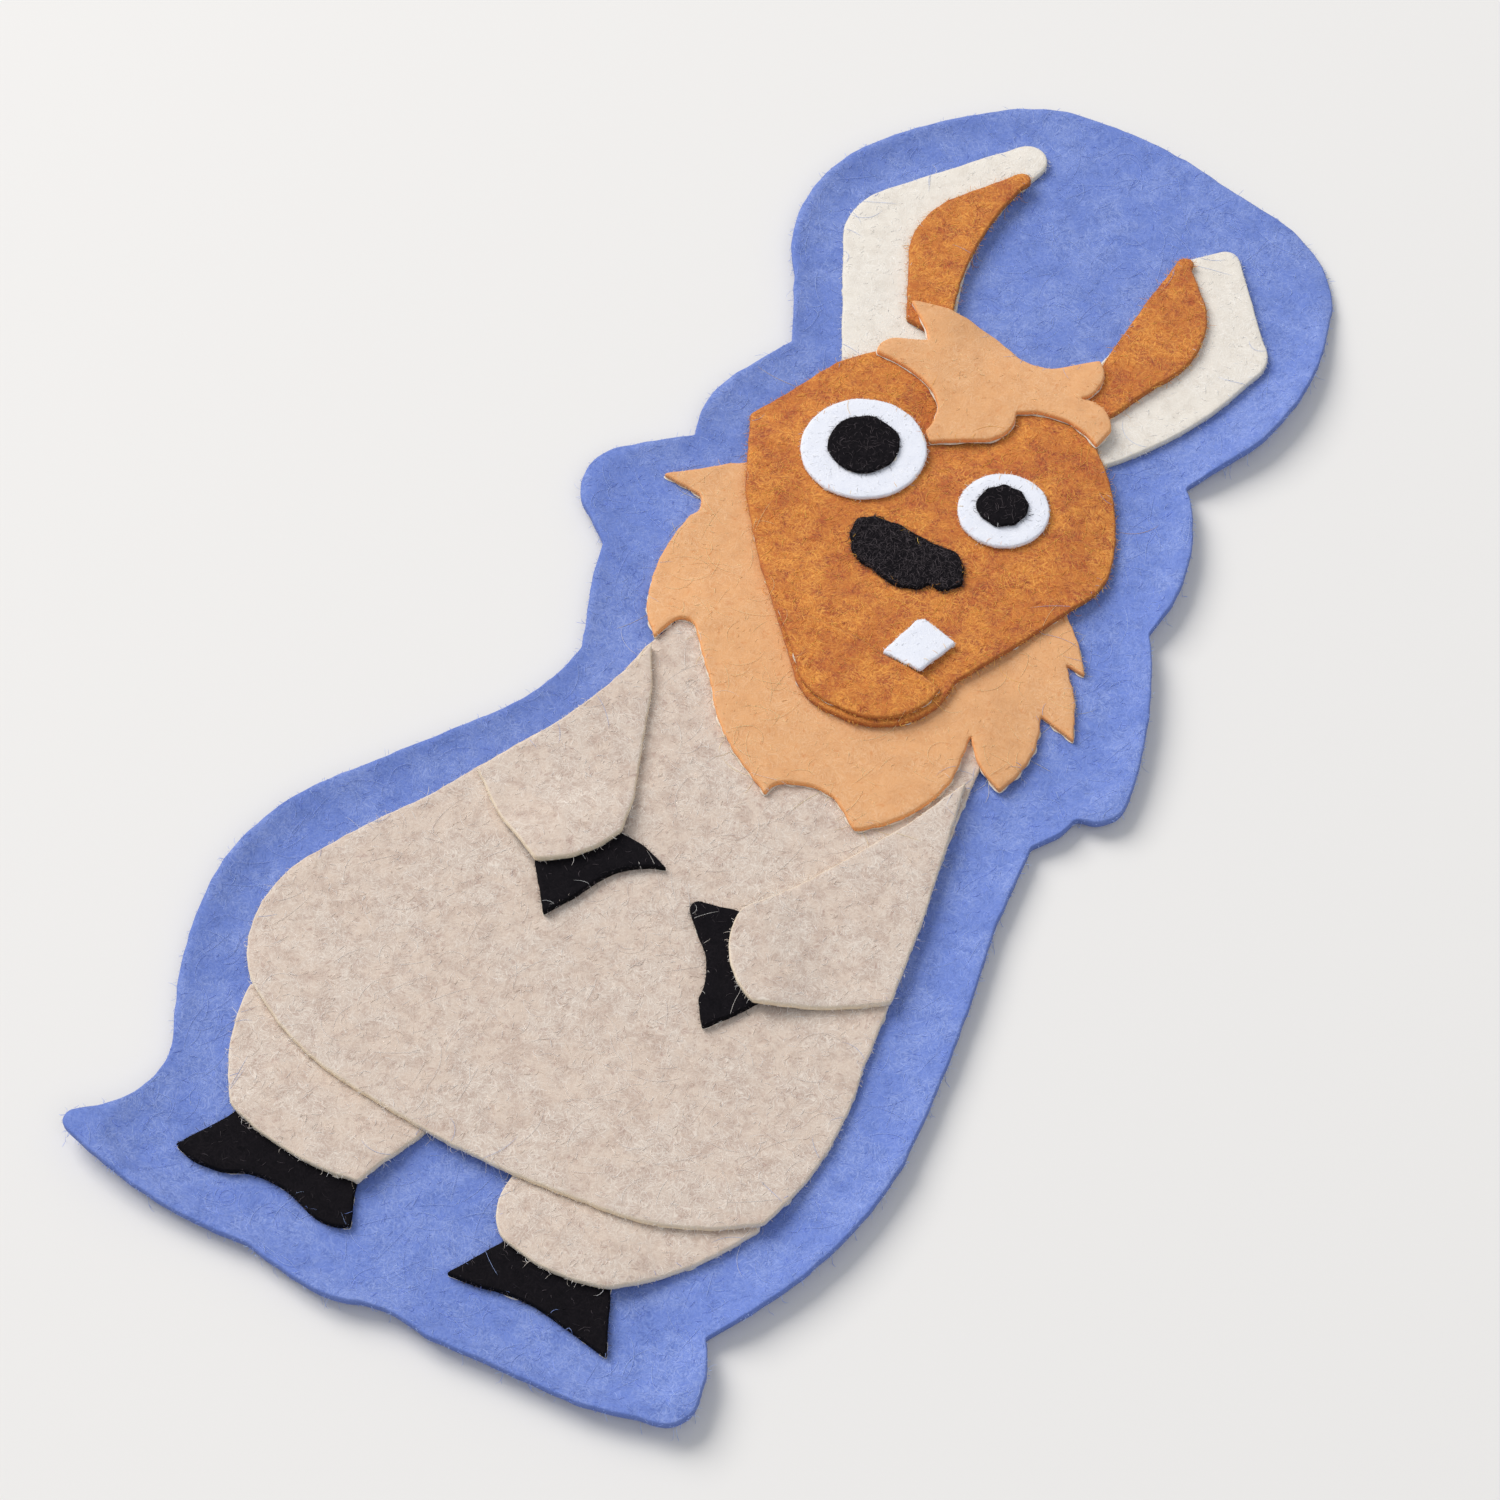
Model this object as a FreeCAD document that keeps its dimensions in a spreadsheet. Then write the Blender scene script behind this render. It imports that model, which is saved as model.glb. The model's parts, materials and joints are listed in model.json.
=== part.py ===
import FreeCAD, Part
import Sketcher
import math
import os

from FreeCAD import Placement, Rotation, Vector

# A flat patch of felt shapes: a long-necked woolly animal with hooves, a face and tall ears.
# Every shape is cut from one thickness of felt and bonded to what lies under it by a film of
# fusible web of the same outline. The patch lies on its back: Z is up through the layers,
# Y runs from the hooves to the ears, and the origin is the middle of the back face.

PATTERN_WIDTH = 81.0
PATTERN_HEIGHT = 178.0

# Name of each driving size, its value in millimetres, and what it is.
SIZES = [
    ("figure_width", 81.0, "width of the backing"),
    ("figure_height", 178.0, "height of the backing"),
    ("felt_thickness", 1.0, "thickness of every felt shape"),
    ("web_thickness", 0.1, "thickness of the bonding film"),
    ("left_white_radius", 7.2, "white of the larger eye"),
    ("right_white_radius", 5.2, "white of the smaller eye"),
    ("left_pupil_radius", 4.1, "pupil of the larger eye"),
    ("right_pupil_radius", 2.9, "pupil of the smaller eye"),
    ("hoof_tuck", 2.5, "length of a hoof hidden under the leg or arm"),
    ("leg_tuck", 3.0, "reach of a leg above the ends of the body's hem"),
    ("hem_clearance", 0.4, "gap between a tucked edge and the step above it"),
    ("hem_ramp", 2.0, "length over which a shape steps up onto another"),
    ("eye_clearance", 0.6, "gap between the forelock and the larger eye"),
]

doc = FreeCAD.newDocument("FeltPatch")
sheet = doc.addObject("Spreadsheet::Sheet", "Sizes")
for row, (alias, value, meaning) in enumerate(SIZES, start=1):
    sheet.set("A%d" % row, alias)
    sheet.set("B%d" % row, str(value))
    sheet.set("C%d" % row, meaning)
    sheet.setAlias("B%d" % row, alias)
doc.recompute()


def value_of(expression):
    """The number, in millimetres or degrees, that an expression stands for now."""
    result = sheet.evalExpression(expression)
    return float(getattr(result, "Value", result))


# ---------------------------------------------------------------- places on the pattern
# A pattern coordinate is a number of millimetres on the full-size pattern, or a text
# expression for a point that follows another piece.

def across(x):
    """Expression for a distance to the right of the middle."""
    if isinstance(x, str):
        return x
    return "%g * Sizes.figure_width / %g" % (x, PATTERN_WIDTH)


def along(y):
    """Expression for a distance towards the ears from the middle."""
    if isinstance(y, str):
        return y
    return "%g * Sizes.figure_height / %g" % (y, PATTERN_HEIGHT)


def spot(x, y):
    """The point of the plane that two pattern coordinates stand for."""
    return Vector(value_of(across(x)), value_of(along(y)), 0)


def line(x, y):
    return ("line", None, (x, y))


def arc(through_x, through_y, x, y):
    return ("arc", (through_x, through_y), (x, y))


# ---------------------------------------------------------------- layers
# Layer 0 is the backing; layer n rests on n thicknesses of felt and the films between them.

def felt_floor(layer):
    return "%d * (Sizes.felt_thickness + Sizes.web_thickness)" % layer


def web_floor(layer):
    return "%s - Sizes.web_thickness" % felt_floor(layer)


# ---------------------------------------------------------------- sketches

def add_sketch(body, name, plane_role):
    sketch = body.newObject("Sketcher::SketchObject", name)
    plane = [o for o in body.Origin.OriginFeatures if o.Role == plane_role][0]
    sketch.AttachmentSupport = [(plane, "")]
    sketch.MapMode = "FlatFace"
    return sketch


def bind(sketch, constraints, expressions):
    """Add the constraints and tie each listed one to its expression."""
    first = sketch.ConstraintCount
    sketch.addConstraint(constraints)
    for index, expression in expressions:
        sketch.setExpression("Constraints[%d]" % (first + index), expression)


def pin(constraints, expressions, geometry, point, x_expression, y_expression):
    """Fix one point of one edge at a place given by two expressions."""
    for kind, expression in (("DistanceX", x_expression), ("DistanceY", y_expression)):
        expressions.append((len(constraints), expression))
        constraints.append(Sketcher.Constraint(kind, -1, 1, geometry, point, value_of(expression)))


def draw_polygon(sketch, corners):
    """Draw a closed polygon whose corners are pairs of expressions."""
    constraints = []
    expressions = []
    places = [Vector(value_of(u), value_of(v), 0) for u, v in corners]
    sides = zip(places, places[1:] + places[:1])
    edges = [sketch.addGeometry(Part.LineSegment(a, b), False) for a, b in sides]
    for edge, following, (u, v) in zip(edges, edges[1:] + edges[:1], corners):
        pin(constraints, expressions, edge, 1, u, v)
        constraints.append(Sketcher.Constraint("Coincident", edge, 2, following, 1))
    bind(sketch, constraints, expressions)


def three_point_circle(a, b, c):
    """Centre of the circle through three points, and whether they run clockwise."""
    turn = (b.x - a.x) * (c.y - a.y) - (b.y - a.y) * (c.x - a.x)
    sa = a.x * a.x + a.y * a.y
    sb = b.x * b.x + b.y * b.y
    sc = c.x * c.x + c.y * c.y
    x = (sa * (b.y - c.y) + sb * (c.y - a.y) + sc * (a.y - b.y)) / (2 * turn)
    y = (sa * (c.x - b.x) + sb * (a.x - c.x) + sc * (b.x - a.x)) / (2 * turn)
    return Vector(x, y, 0), turn < 0


def draw_path(sketch, start, steps):
    """Draw a closed outline of lines and arcs, with every corner tied to the sheet."""
    constraints = []
    expressions = []
    ends = []
    here = start
    if steps[-1][2] != start:
        steps = steps + [line(*start)]
    for kind, through, there in steps:
        a = spot(*here)
        b = spot(*there)
        if kind == "line":
            edge = sketch.addGeometry(Part.LineSegment(a, b), False)
            first, last = 1, 2
        else:
            middle = spot(*through)
            centre, clockwise = three_point_circle(a, middle, b)
            circle = Part.Circle(centre, Vector(0, 0, 1), (a - centre).Length)
            begin, finish = (b, a) if clockwise else (a, b)
            angle_0 = math.atan2(begin.y - centre.y, begin.x - centre.x)
            angle_1 = math.atan2(finish.y - centre.y, finish.x - centre.x)
            if angle_1 < angle_0:
                angle_1 += 2 * math.pi
            edge = sketch.addGeometry(Part.ArcOfCircle(circle, angle_0, angle_1), False)
            first, last = (2, 1) if clockwise else (1, 2)
            mark = sketch.addGeometry(Part.Point(middle), True)
            pin(constraints, expressions, mark, 1, across(through[0]), along(through[1]))
            constraints.append(Sketcher.Constraint("PointOnObject", mark, 1, edge))
        pin(constraints, expressions, edge, last, across(there[0]), along(there[1]))
        ends.append((edge, first, last))
        here = there
    for (edge, first, last), (following, next_first, next_last) in zip(ends, ends[1:] + ends[:1]):
        constraints.append(Sketcher.Constraint("Coincident", edge, last, following, next_first))
    bind(sketch, constraints, expressions)


def draw_circle(sketch, x, y, radius_alias):
    """Draw a circle whose centre is a pattern place and whose radius is its own size."""
    radius = "Sizes.%s" % radius_alias
    circle = Part.Circle(spot(x, y), Vector(0, 0, 1), value_of(radius))
    edge = sketch.addGeometry(circle, False)
    constraints = []
    expressions = []
    pin(constraints, expressions, edge, 3, across(x), along(y))
    expressions.append((len(constraints), radius))
    constraints.append(Sketcher.Constraint("Radius", edge, value_of(radius)))
    bind(sketch, constraints, expressions)


def draw_shape(sketch, shape):
    if shape[0] == "circle":
        draw_circle(sketch, *shape[1:])
    else:
        draw_path(sketch, shape[1], shape[2])


# ---------------------------------------------------------------- pieces

def new_body(node):
    body = doc.addObject("PartDesign::Body", "Body_" + node)
    body.Label = node
    body.Placement = Placement()
    return body


def flat_piece(node, shape, floor, thickness):
    """A shape that lies level all over: its outline padded by one thickness."""
    body = new_body(node)
    sketch = add_sketch(body, "Outline_" + node, "XY_Plane")
    sketch.setExpression("AttachmentOffset.Base.z", floor)
    draw_shape(sketch, shape)
    pad = body.newObject("PartDesign::Pad", "Pad_" + node)
    pad.Profile = sketch
    pad.setExpression("Length", thickness)
    return body


def hemmed_piece(node, shape, hem, floors, thickness):
    """A shape that steps up onto another along its hem.

    hem is the middle of the hem, the heading out over it and how far back the step starts.
    floors are the undersides of the low and the high part. A sheet with the step in it is
    padded sideways, and all that lies outside the outline is cut away.
    """
    x, y, heading, back = hem
    low, high = floors
    reach = "2 * (Sizes.figure_width + Sizes.figure_height)"
    body = new_body(node)

    profile = add_sketch(body, "Step_" + node, "XZ_Plane")
    place = spot(x, y)
    turn = Rotation(Vector(0, 1, 0), value_of(heading))
    profile.AttachmentOffset = Placement(Vector(place.x, 0, -place.y), turn)
    profile.setExpression("AttachmentOffset.Base.x", across(x))
    profile.setExpression("AttachmentOffset.Base.z", "-(%s)" % along(y))
    profile.setExpression("AttachmentOffset.Rotation.Angle", heading)
    top_of_ramp = "-(%s + Sizes.hem_clearance)" % back
    foot_of_ramp = "-(%s + Sizes.hem_clearance + Sizes.hem_ramp)" % back
    under = [("-(%s)" % reach, low), (foot_of_ramp, low), (top_of_ramp, high), (reach, high)]
    over = [(u, "%s + %s" % (z, thickness)) for u, z in reversed(under)]
    draw_polygon(profile, under + over)
    pad = body.newObject("PartDesign::Pad", "Sheet_" + node)
    pad.Profile = profile
    pad.Midplane = True
    pad.setExpression("Length", reach)

    outline = add_sketch(body, "Outline_" + node, "XY_Plane")
    draw_shape(outline, shape)
    far = "2 * " + reach
    draw_polygon(outline, [("-" + far, "-" + far), (far, "-" + far), (far, far), ("-" + far, far)])
    trim = body.newObject("PartDesign::Pocket", "Trim_" + node)
    trim.Profile = outline
    trim.Type = "ThroughAll"
    trim.Midplane = True
    return body


def felt_and_web(node, shape, layer, hem=None, high_layer=None):
    """One felt shape and the film of web that bonds it."""
    felt = "Sizes.felt_thickness"
    web = "Sizes.web_thickness"
    if hem is None:
        pieces = [flat_piece(node, shape, felt_floor(layer), felt)]
        if layer > 0:
            pieces.append(flat_piece(node + "_web", shape, web_floor(layer), web))
        return pieces
    felt_floors = (felt_floor(layer), felt_floor(high_layer))
    web_floors = (web_floor(layer), web_floor(high_layer))
    return [
        hemmed_piece(node, shape, hem, felt_floors, felt),
        hemmed_piece(node + "_web", shape, hem, web_floors, web),
    ]


# ---------------------------------------------------------------- outlines
# A shape is ("path", start, steps), where a step is a line to a point or an arc through one
# point to another, or ("circle", x, y, the alias of its radius). A path closes on its start.

def backing_outline():
    return ("path", (-17, 84.5), [
        arc(-11.5, 88, -5, 89),
        arc(4, 88.7, 13, 86.7),
        line(21, 85.2),
        arc(28.8, 80.5, 32.5, 72.5),
        arc(34.2, 63, 32.5, 51.5),
        line(28, 43),
        arc(32.3, 35, 33.6, 26.5),
        line(33, 22.5),
        arc(38, 11.5, 40.5, 1.5),
        arc(40, -1.3, 38.5, -2.8),
        line(36.5, -3.2),
        line(35.7, -6),
        line(33.8, -8.5),
        line(35, -20),
        arc(38.2, -38, 39.3, -49),
        arc(37.2, -62.5, 31, -75),
        arc(33.2, -79, 34, -82.5),
        arc(33, -84.6, 30, -85.7),
        line(24, -87.2),
        line(12, -87.7),
        line(6.5, -88.1),
        arc(2, -87.5, -2, -88.6),
        arc(-5, -89, -9, -88.6),
        line(-14.5, -87.8),
        arc(-24, -88.2, -33, -86.9),
        line(-36.5, -86),
        arc(-37.7, -85, -37, -83.5),
        line(-35.3, -81.7),
        arc(-32.7, -76, -33.7, -71),
        arc(-38.4, -61.5, -40.5, -51.5),
        arc(-39, -42.5, -34.5, -34.5),
        line(-24.5, -20),
        arc(-21.6, -12.5, -21.2, -8.5),
        line(-25, 0.5),
        line(-26.2, 5),
        line(-30, 8),
        arc(-33, 12.5, -30, 18.7),
        line(-24.7, 23.5),
        arc(-25.8, 28.5, -24, 35),
        line(-21.5, 41),
        line(-26, 50),
        arc(-30.3, 60.5, -28, 71.5),
        arc(-23.2, 78.3, -17, 84.5),
    ])


BODY_HEM_Y = -62.0


def body_outline():
    return ("path", (-30, BODY_HEM_Y), [
        arc(-22.5, -66, -13, -68),
        arc(1, -68.8, 14, -68),
        arc(23.5, -65.8, 30.3, -61.5),
        arc(31.8, -51, 30.6, -41),
        line(28, -23),
        arc(26, -13, 24.5, -2),
        arc(22, 4, 12, 6),
        arc(-4, 6.5, -13, 1.5),
        line(-15, -5),
        arc(-17, -15, -20.5, -22.5),
        line(-26, -33.8),
        arc(-29.7, -39.7, -32.6, -45.3),
        arc(-34.3, -53, -30, BODY_HEM_Y),
    ])


def leg_top():
    """The hidden upper edge of a leg, up under the body's hem."""
    return "%s + Sizes.leg_tuck" % along(BODY_HEM_Y)


LEFT_LEG_HEM_Y = -75.5
RIGHT_LEG_HEM_Y = -75.0


def left_leg_outline():
    return ("path", (-23.7, LEFT_LEG_HEM_Y), [
        arc(-15.5, -77.3, -7.7, -76.8),
        line(-7, -74.5),
        line(-4.5, -67),
        line(-4.5, leg_top()),
        line(-28.5, leg_top()),
        line(-30, -62.5),
        arc(-27.8, -69.5, -23.7, LEFT_LEG_HEM_Y),
    ])


def right_leg_outline():
    return ("path", (8, RIGHT_LEG_HEM_Y - 0.3), [
        arc(14, -76.2, 20.3, RIGHT_LEG_HEM_Y),
        arc(25.8, -69, 30, -62),
        line(28.5, leg_top()),
        line(4.8, leg_top()),
        line(5.3, -69),
        arc(6, -73, 8, RIGHT_LEG_HEM_Y - 0.3),
    ])


def hoof_top(hem_y):
    """The hidden upper edge of a hind hoof, tucked under its leg."""
    return "%s + Sizes.hoof_tuck" % along(hem_y)


def left_hind_hoof_outline():
    return ("path", (-22.5, hoof_top(LEFT_LEG_HEM_Y)), [
        line(-9, hoof_top(LEFT_LEG_HEM_Y)),
        line(-8, -77),
        line(-6, -81.2),
        arc(-9, -82, -12, -81.2),
        arc(-15.5, -80.6, -18.5, -80.9),
        arc(-22.5, -82.3, -26.5, -81.7),
        line(-23.5, -76.5),
    ])


def right_hind_hoof_outline():
    return ("path", (9.5, hoof_top(RIGHT_LEG_HEM_Y)), [
        line(19, hoof_top(RIGHT_LEG_HEM_Y)),
        line(20.5, -75.5),
        line(23.4, -81.3),
        arc(19.5, -80.7, 15.5, -80),
        arc(11, -80.1, 8.5, -80.7),
        line(5, -81),
        line(8, -75.6),
    ])


# The two ends of each arm's wrist. The hoof lies to the right of the way from first to last.
LEFT_WRIST = [(-11.2, -35.8), (-4.9, -28.3)]
RIGHT_WRIST = [(10.9, -30.8), (17.2, -40.1)]
HOOF_INSET = 0.1


def towards_hoof(wrist):
    """Heading square to a wrist and out over its hoof, to the right of the way that it runs."""
    (ax, ay), (bx, by) = wrist
    rise = "(%s) - (%s)" % (along(by), along(ay))
    run = "(%s) - (%s)" % (across(bx), across(ax))
    return "atan2(%s; %s) - 90 deg" % (rise, run)


def tucked(wrist, end):
    """A hidden corner of a fore hoof: back under the arm, and a little in from its side."""
    corner = wrist[end]
    other = wrist[1 - end]
    x = corner[0] + HOOF_INSET * (other[0] - corner[0])
    y = corner[1] + HOOF_INSET * (other[1] - corner[1])
    heading = towards_hoof(wrist)
    return (
        "%s - Sizes.hoof_tuck * cos(%s)" % (across(x), heading),
        "%s - Sizes.hoof_tuck * sin(%s)" % (along(y), heading),
    )


def left_arm_outline():
    return ("path", (-14.3, -5.2), [
        line(-11.2, -10.5),
        arc(-8.8, -16.8, -6, -23.6),
        line(*LEFT_WRIST[1]),
        arc(-7.2, -32.8, *LEFT_WRIST[0]),
        line(-18.1, -32.1),
        line(-22.7, -28.4),
        line(-18.8, -20.6),
        arc(-16, -13, -14.3, -5.2),
    ])


def right_arm_outline():
    return ("path", (24.2, -5), [
        line(21.5, -12),
        arc(17.8, -19.2, 13.4, -27.1),
        line(*RIGHT_WRIST[0]),
        arc(12.4, -36.3, *RIGHT_WRIST[1]),
        arc(24, -36.9, 29.7, -33),
        line(28, -22.5),
        arc(26, -13, 24.2, -5),
    ])


def left_fore_hoof_outline():
    return ("path", LEFT_WRIST[1], [
        line(-2.1, -28.4),
        line(1.4, -29.8),
        arc(-3, -32.5, -4.8, -36),
        line(-7.3, -40.8),
        line(*LEFT_WRIST[0]),
        line(*tucked(LEFT_WRIST, 0)),
        line(*tucked(LEFT_WRIST, 1)),
    ])


def right_fore_hoof_outline():
    return ("path", RIGHT_WRIST[0], [
        line(6.9, -31.6),
        arc(5.9, -32.1, 6, -33.2),
        line(8.5, -35.6),
        arc(10.8, -38.2, 12, -42.2),
        line(13.9, -44.9),
        line(15.7, -42.6),
        line(*RIGHT_WRIST[1]),
        line(*tucked(RIGHT_WRIST, 1)),
        line(*tucked(RIGHT_WRIST, 0)),
    ])


def mane_outline():
    return ("path", (-17, 23), [
        line(-19.5, 21.3),
        line(-21.8, 19.3),
        line(-25, 16.7),
        line(-20.3, 16.2),
        arc(-19.3, 15.2, -19.5, 13),
        arc(-19.4, 5, -17, -1.5),
        line(-14.6, -4),
        line(-14, -1.5),
        arc(-12.8, -0.2, -11, -1),
        line(-6, -6.7),
        arc(-1.5, -11.8, 2, -14.2),
        line(5.9, -16.4),
        arc(6.5, -14.7, 8, -13.9),
        arc(11, -13.1, 14, -14.2),
        line(16.4, -16),
        arc(20.7, -11.5, 22.7, -5),
        line(22, 0.7),
        arc(25, -2.6, 27.7, -3.9),
        arc(28.6, -0.5, 27.2, 7.2),
        line(31.8, 5.9),
        line(29.5, 11),
        line(26.7, 14.6),
        line(29.1, 14.3),
        line(26.5, 18),
        line(23, 21.5),
        line(19, 30),
        line(-12, 30),
    ])


def head_outline():
    return ("path", (-20.5, 29), [
        line(-15, 40),
        line(-12, 43.5),
        arc(2, 47.5, 16, 43.5),
        line(19, 40.5),
        arc(23.2, 34.5, 25.6, 28),
        arc(25.6, 25, 24.3, 21.5),
        line(17.5, 5.5),
        arc(15.2, -1.7, 8, -4.3),
        arc(4.2, -3.7, 1, -1),
        line(-9, 10),
        line(-15.5, 18.5),
    ])


TOOTH_FOOT = [(9, 4.8), (13.8, 4.4)]


def jaw_outline():
    return ("path", (-4, 4.9), [
        arc(2, 5.6, *TOOTH_FOOT[0]),
        line(*TOOTH_FOOT[1]),
        line(16.7, 3.6),
        arc(14.4, -1.7, 8, -3.7),
        arc(4.4, -3.2, 1.3, -0.7),
    ])


def tooth_outline():
    return ("path", TOOTH_FOOT[0], [
        line(10.2, 10.6),
        line(10.9, 11.2),
        line(15.4, 9.9),
        line(*TOOTH_FOOT[1]),
    ])


def nose_outline():
    return ("path", (-2.2, 19.5), [
        arc(-1.4, 21.5, 1, 22),
        line(8, 21.5),
        arc(11, 20.6, 12, 18),
        arc(11.2, 16.6, 9, 16),
        arc(5.8, 14.3, 2.5, 15.2),
        arc(-1.4, 17, -2.2, 19.5),
    ])


LEFT_EYE = (-6.5, 30.4)
RIGHT_EYE = (11.6, 30)


def beside_left_eye(bearing):
    """A point of the forelock that keeps clear of the larger eye."""
    reach = "(Sizes.left_white_radius + Sizes.eye_clearance)"
    x = "%s + %s * cos(%g)" % (across(LEFT_EYE[0]), reach, bearing)
    y = "%s + %s * sin(%g)" % (along(LEFT_EYE[1]), reach, bearing)
    return (x, y)


def forelock_outline():
    return ("path", (-12, 44), [
        arc(-12, 46, -10.2, 47.2),
        line(-7.5, 48.5),
        line(-8.9, 50.2),
        line(-12, 52.8),
        arc(-6, 53.8, 0.8, 52.6),
        arc(3.9, 51.4, 7, 51.9),
        line(11.3, 55.1),
        arc(12.9, 52.4, 11.8, 49),
        arc(15.2, 48.5, 16.8, 46.3),
        line(16.3, 43.6),
        arc(11, 45.3, 6.1, 43.8),
        arc(6.3, 40.6, 4.5, 38.6),
        arc(2.2, 37.4, *beside_left_eye(43)),
        line(*beside_left_eye(55)),
        arc(-1.9, 39.4, -3.6, 42),
        arc(-7.5, 43.6, -12, 44),
    ])


def left_ear_outline():
    return ("path", (-13, 37.5), [
        line(-16.3, 43.5),
        line(-23.2, 57),
        arc(-24.6, 61.5, -22.7, 67),
        line(-12, 80.3),
        arc(-9, 81.4, -7.4, 78.5),
        arc(-9.2, 66, -6.6, 54),
        line(-4, 42),
    ])


def right_ear_outline():
    return ("path", (8, 42), [
        line(11.8, 56),
        arc(12.4, 66, 12.9, 73),
        line(16.4, 76.8),
        arc(18, 77.6, 19.5, 76.5),
        line(27, 66.5),
        arc(28.5, 64, 28, 61),
        arc(24.2, 50.2, 18.5, 41.5),
        line(15, 36),
    ])


def left_lining_outline():
    return ("path", (-11, 49.5), [
        line(-14.8, 57.5),
        arc(-16.3, 63, -14.6, 68.9),
        line(-9.6, 75.8),
        arc(-8.4, 76.4, -8.1, 74.5),
        arc(-8.8, 63.5, -6.3, 52),
        line(-7, 49),
    ])


def right_lining_outline():
    return ("path", (12.5, 47.5), [
        line(12.1, 56),
        arc(12.6, 66, 13.1, 72.6),
        arc(13.8, 73.5, 15, 72.2),
        line(18.6, 68.2),
        arc(20.9, 61.5, 18.9, 54.4),
        line(16, 47),
    ])


# ---------------------------------------------------------------- assembly

TOWARDS_HOOVES = "-90 deg"


def hem_at(y, back):
    return (0, y, TOWARDS_HOOVES, back)


def wrist_hem(wrist):
    x = (wrist[0][0] + wrist[1][0]) / 2
    y = (wrist[0][1] + wrist[1][1]) / 2
    return (x, y, towards_hoof(wrist), "Sizes.hoof_tuck")


pieces = []
pieces += felt_and_web("backing", backing_outline(), 0)
pieces += felt_and_web("left_hind_hoof", left_hind_hoof_outline(), 1)
pieces += felt_and_web("right_hind_hoof", right_hind_hoof_outline(), 1)
pieces += felt_and_web("left_leg", left_leg_outline(), 1, hem_at(LEFT_LEG_HEM_Y, "Sizes.hoof_tuck"), 2)
pieces += felt_and_web("right_leg", right_leg_outline(), 1, hem_at(RIGHT_LEG_HEM_Y, "Sizes.hoof_tuck"), 2)
pieces += felt_and_web("body", body_outline(), 1, hem_at(BODY_HEM_Y, "Sizes.leg_tuck"), 2)
pieces += felt_and_web("left_ear", left_ear_outline(), 1)
pieces += felt_and_web("right_ear", right_ear_outline(), 1)
pieces += felt_and_web("left_ear_lining", left_lining_outline(), 2)
pieces += felt_and_web("right_ear_lining", right_lining_outline(), 2)
pieces += felt_and_web("left_fore_hoof", left_fore_hoof_outline(), 2)
pieces += felt_and_web("right_fore_hoof", right_fore_hoof_outline(), 2)
pieces += felt_and_web("left_arm", left_arm_outline(), 2, wrist_hem(LEFT_WRIST), 3)
pieces += felt_and_web("right_arm", right_arm_outline(), 2, wrist_hem(RIGHT_WRIST), 3)
pieces += felt_and_web("mane", mane_outline(), 2)
pieces += felt_and_web("head", head_outline(), 3)
pieces += felt_and_web("jaw", jaw_outline(), 4)
pieces += felt_and_web("tooth", tooth_outline(), 4)
pieces += felt_and_web("nose", nose_outline(), 4)
pieces += felt_and_web("forelock", forelock_outline(), 4)
pieces += felt_and_web("left_eye_white", ("circle",) + LEFT_EYE + ("left_white_radius",), 4)
pieces += felt_and_web("right_eye_white", ("circle",) + RIGHT_EYE + ("right_white_radius",), 4)
pieces += felt_and_web("left_pupil", ("circle",) + LEFT_EYE + ("left_pupil_radius",), 5)
pieces += felt_and_web("right_pupil", ("circle",) + RIGHT_EYE + ("right_pupil_radius",), 5)

doc.recompute()

for thing in doc.Objects:
    if "Invalid" in thing.State or "Error" in thing.State:
        raise RuntimeError("%s could not be built: %s" % (thing.Label, thing.State))

for body in pieces:
    if body.Shape.isNull() or not body.Shape.isValid() or len(body.Shape.Solids) != 1:
        raise RuntimeError("%s is not one sound solid" % body.Label)

os.makedirs("parts", exist_ok=True)
for body in pieces:
    body.Shape.exportStep("parts/%s.step" % body.Label)
    print("%-24s %8.1f mm3" % (body.Label, body.Shape.Volume))
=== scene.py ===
import json
import math
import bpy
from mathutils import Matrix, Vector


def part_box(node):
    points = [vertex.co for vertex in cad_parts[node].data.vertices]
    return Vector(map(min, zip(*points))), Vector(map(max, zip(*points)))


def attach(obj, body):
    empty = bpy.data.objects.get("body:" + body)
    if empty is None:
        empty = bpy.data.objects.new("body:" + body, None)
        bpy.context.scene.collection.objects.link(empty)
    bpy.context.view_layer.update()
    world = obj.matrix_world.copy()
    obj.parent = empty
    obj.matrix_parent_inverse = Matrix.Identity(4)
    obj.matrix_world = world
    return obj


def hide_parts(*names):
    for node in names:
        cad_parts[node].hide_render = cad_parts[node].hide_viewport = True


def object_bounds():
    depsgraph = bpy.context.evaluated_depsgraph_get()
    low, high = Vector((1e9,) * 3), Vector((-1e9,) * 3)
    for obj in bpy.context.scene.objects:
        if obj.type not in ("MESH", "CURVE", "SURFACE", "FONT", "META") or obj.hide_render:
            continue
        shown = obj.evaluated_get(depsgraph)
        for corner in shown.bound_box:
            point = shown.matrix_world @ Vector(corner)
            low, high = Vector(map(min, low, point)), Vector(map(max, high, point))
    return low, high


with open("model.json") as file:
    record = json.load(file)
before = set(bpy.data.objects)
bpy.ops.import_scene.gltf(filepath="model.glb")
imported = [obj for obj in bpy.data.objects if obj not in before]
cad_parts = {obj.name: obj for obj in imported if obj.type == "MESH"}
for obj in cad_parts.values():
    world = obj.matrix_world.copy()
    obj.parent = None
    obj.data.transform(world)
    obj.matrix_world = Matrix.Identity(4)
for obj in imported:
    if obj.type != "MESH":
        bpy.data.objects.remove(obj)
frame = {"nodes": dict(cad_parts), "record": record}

import zlib

import bpy
import numpy as np
from bpy.props import FloatProperty, FloatVectorProperty, PointerProperty
from mathutils import Vector
from mathutils.geometry import delaunay_2d_cdt
from mathutils.kdtree import KDTree

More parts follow.
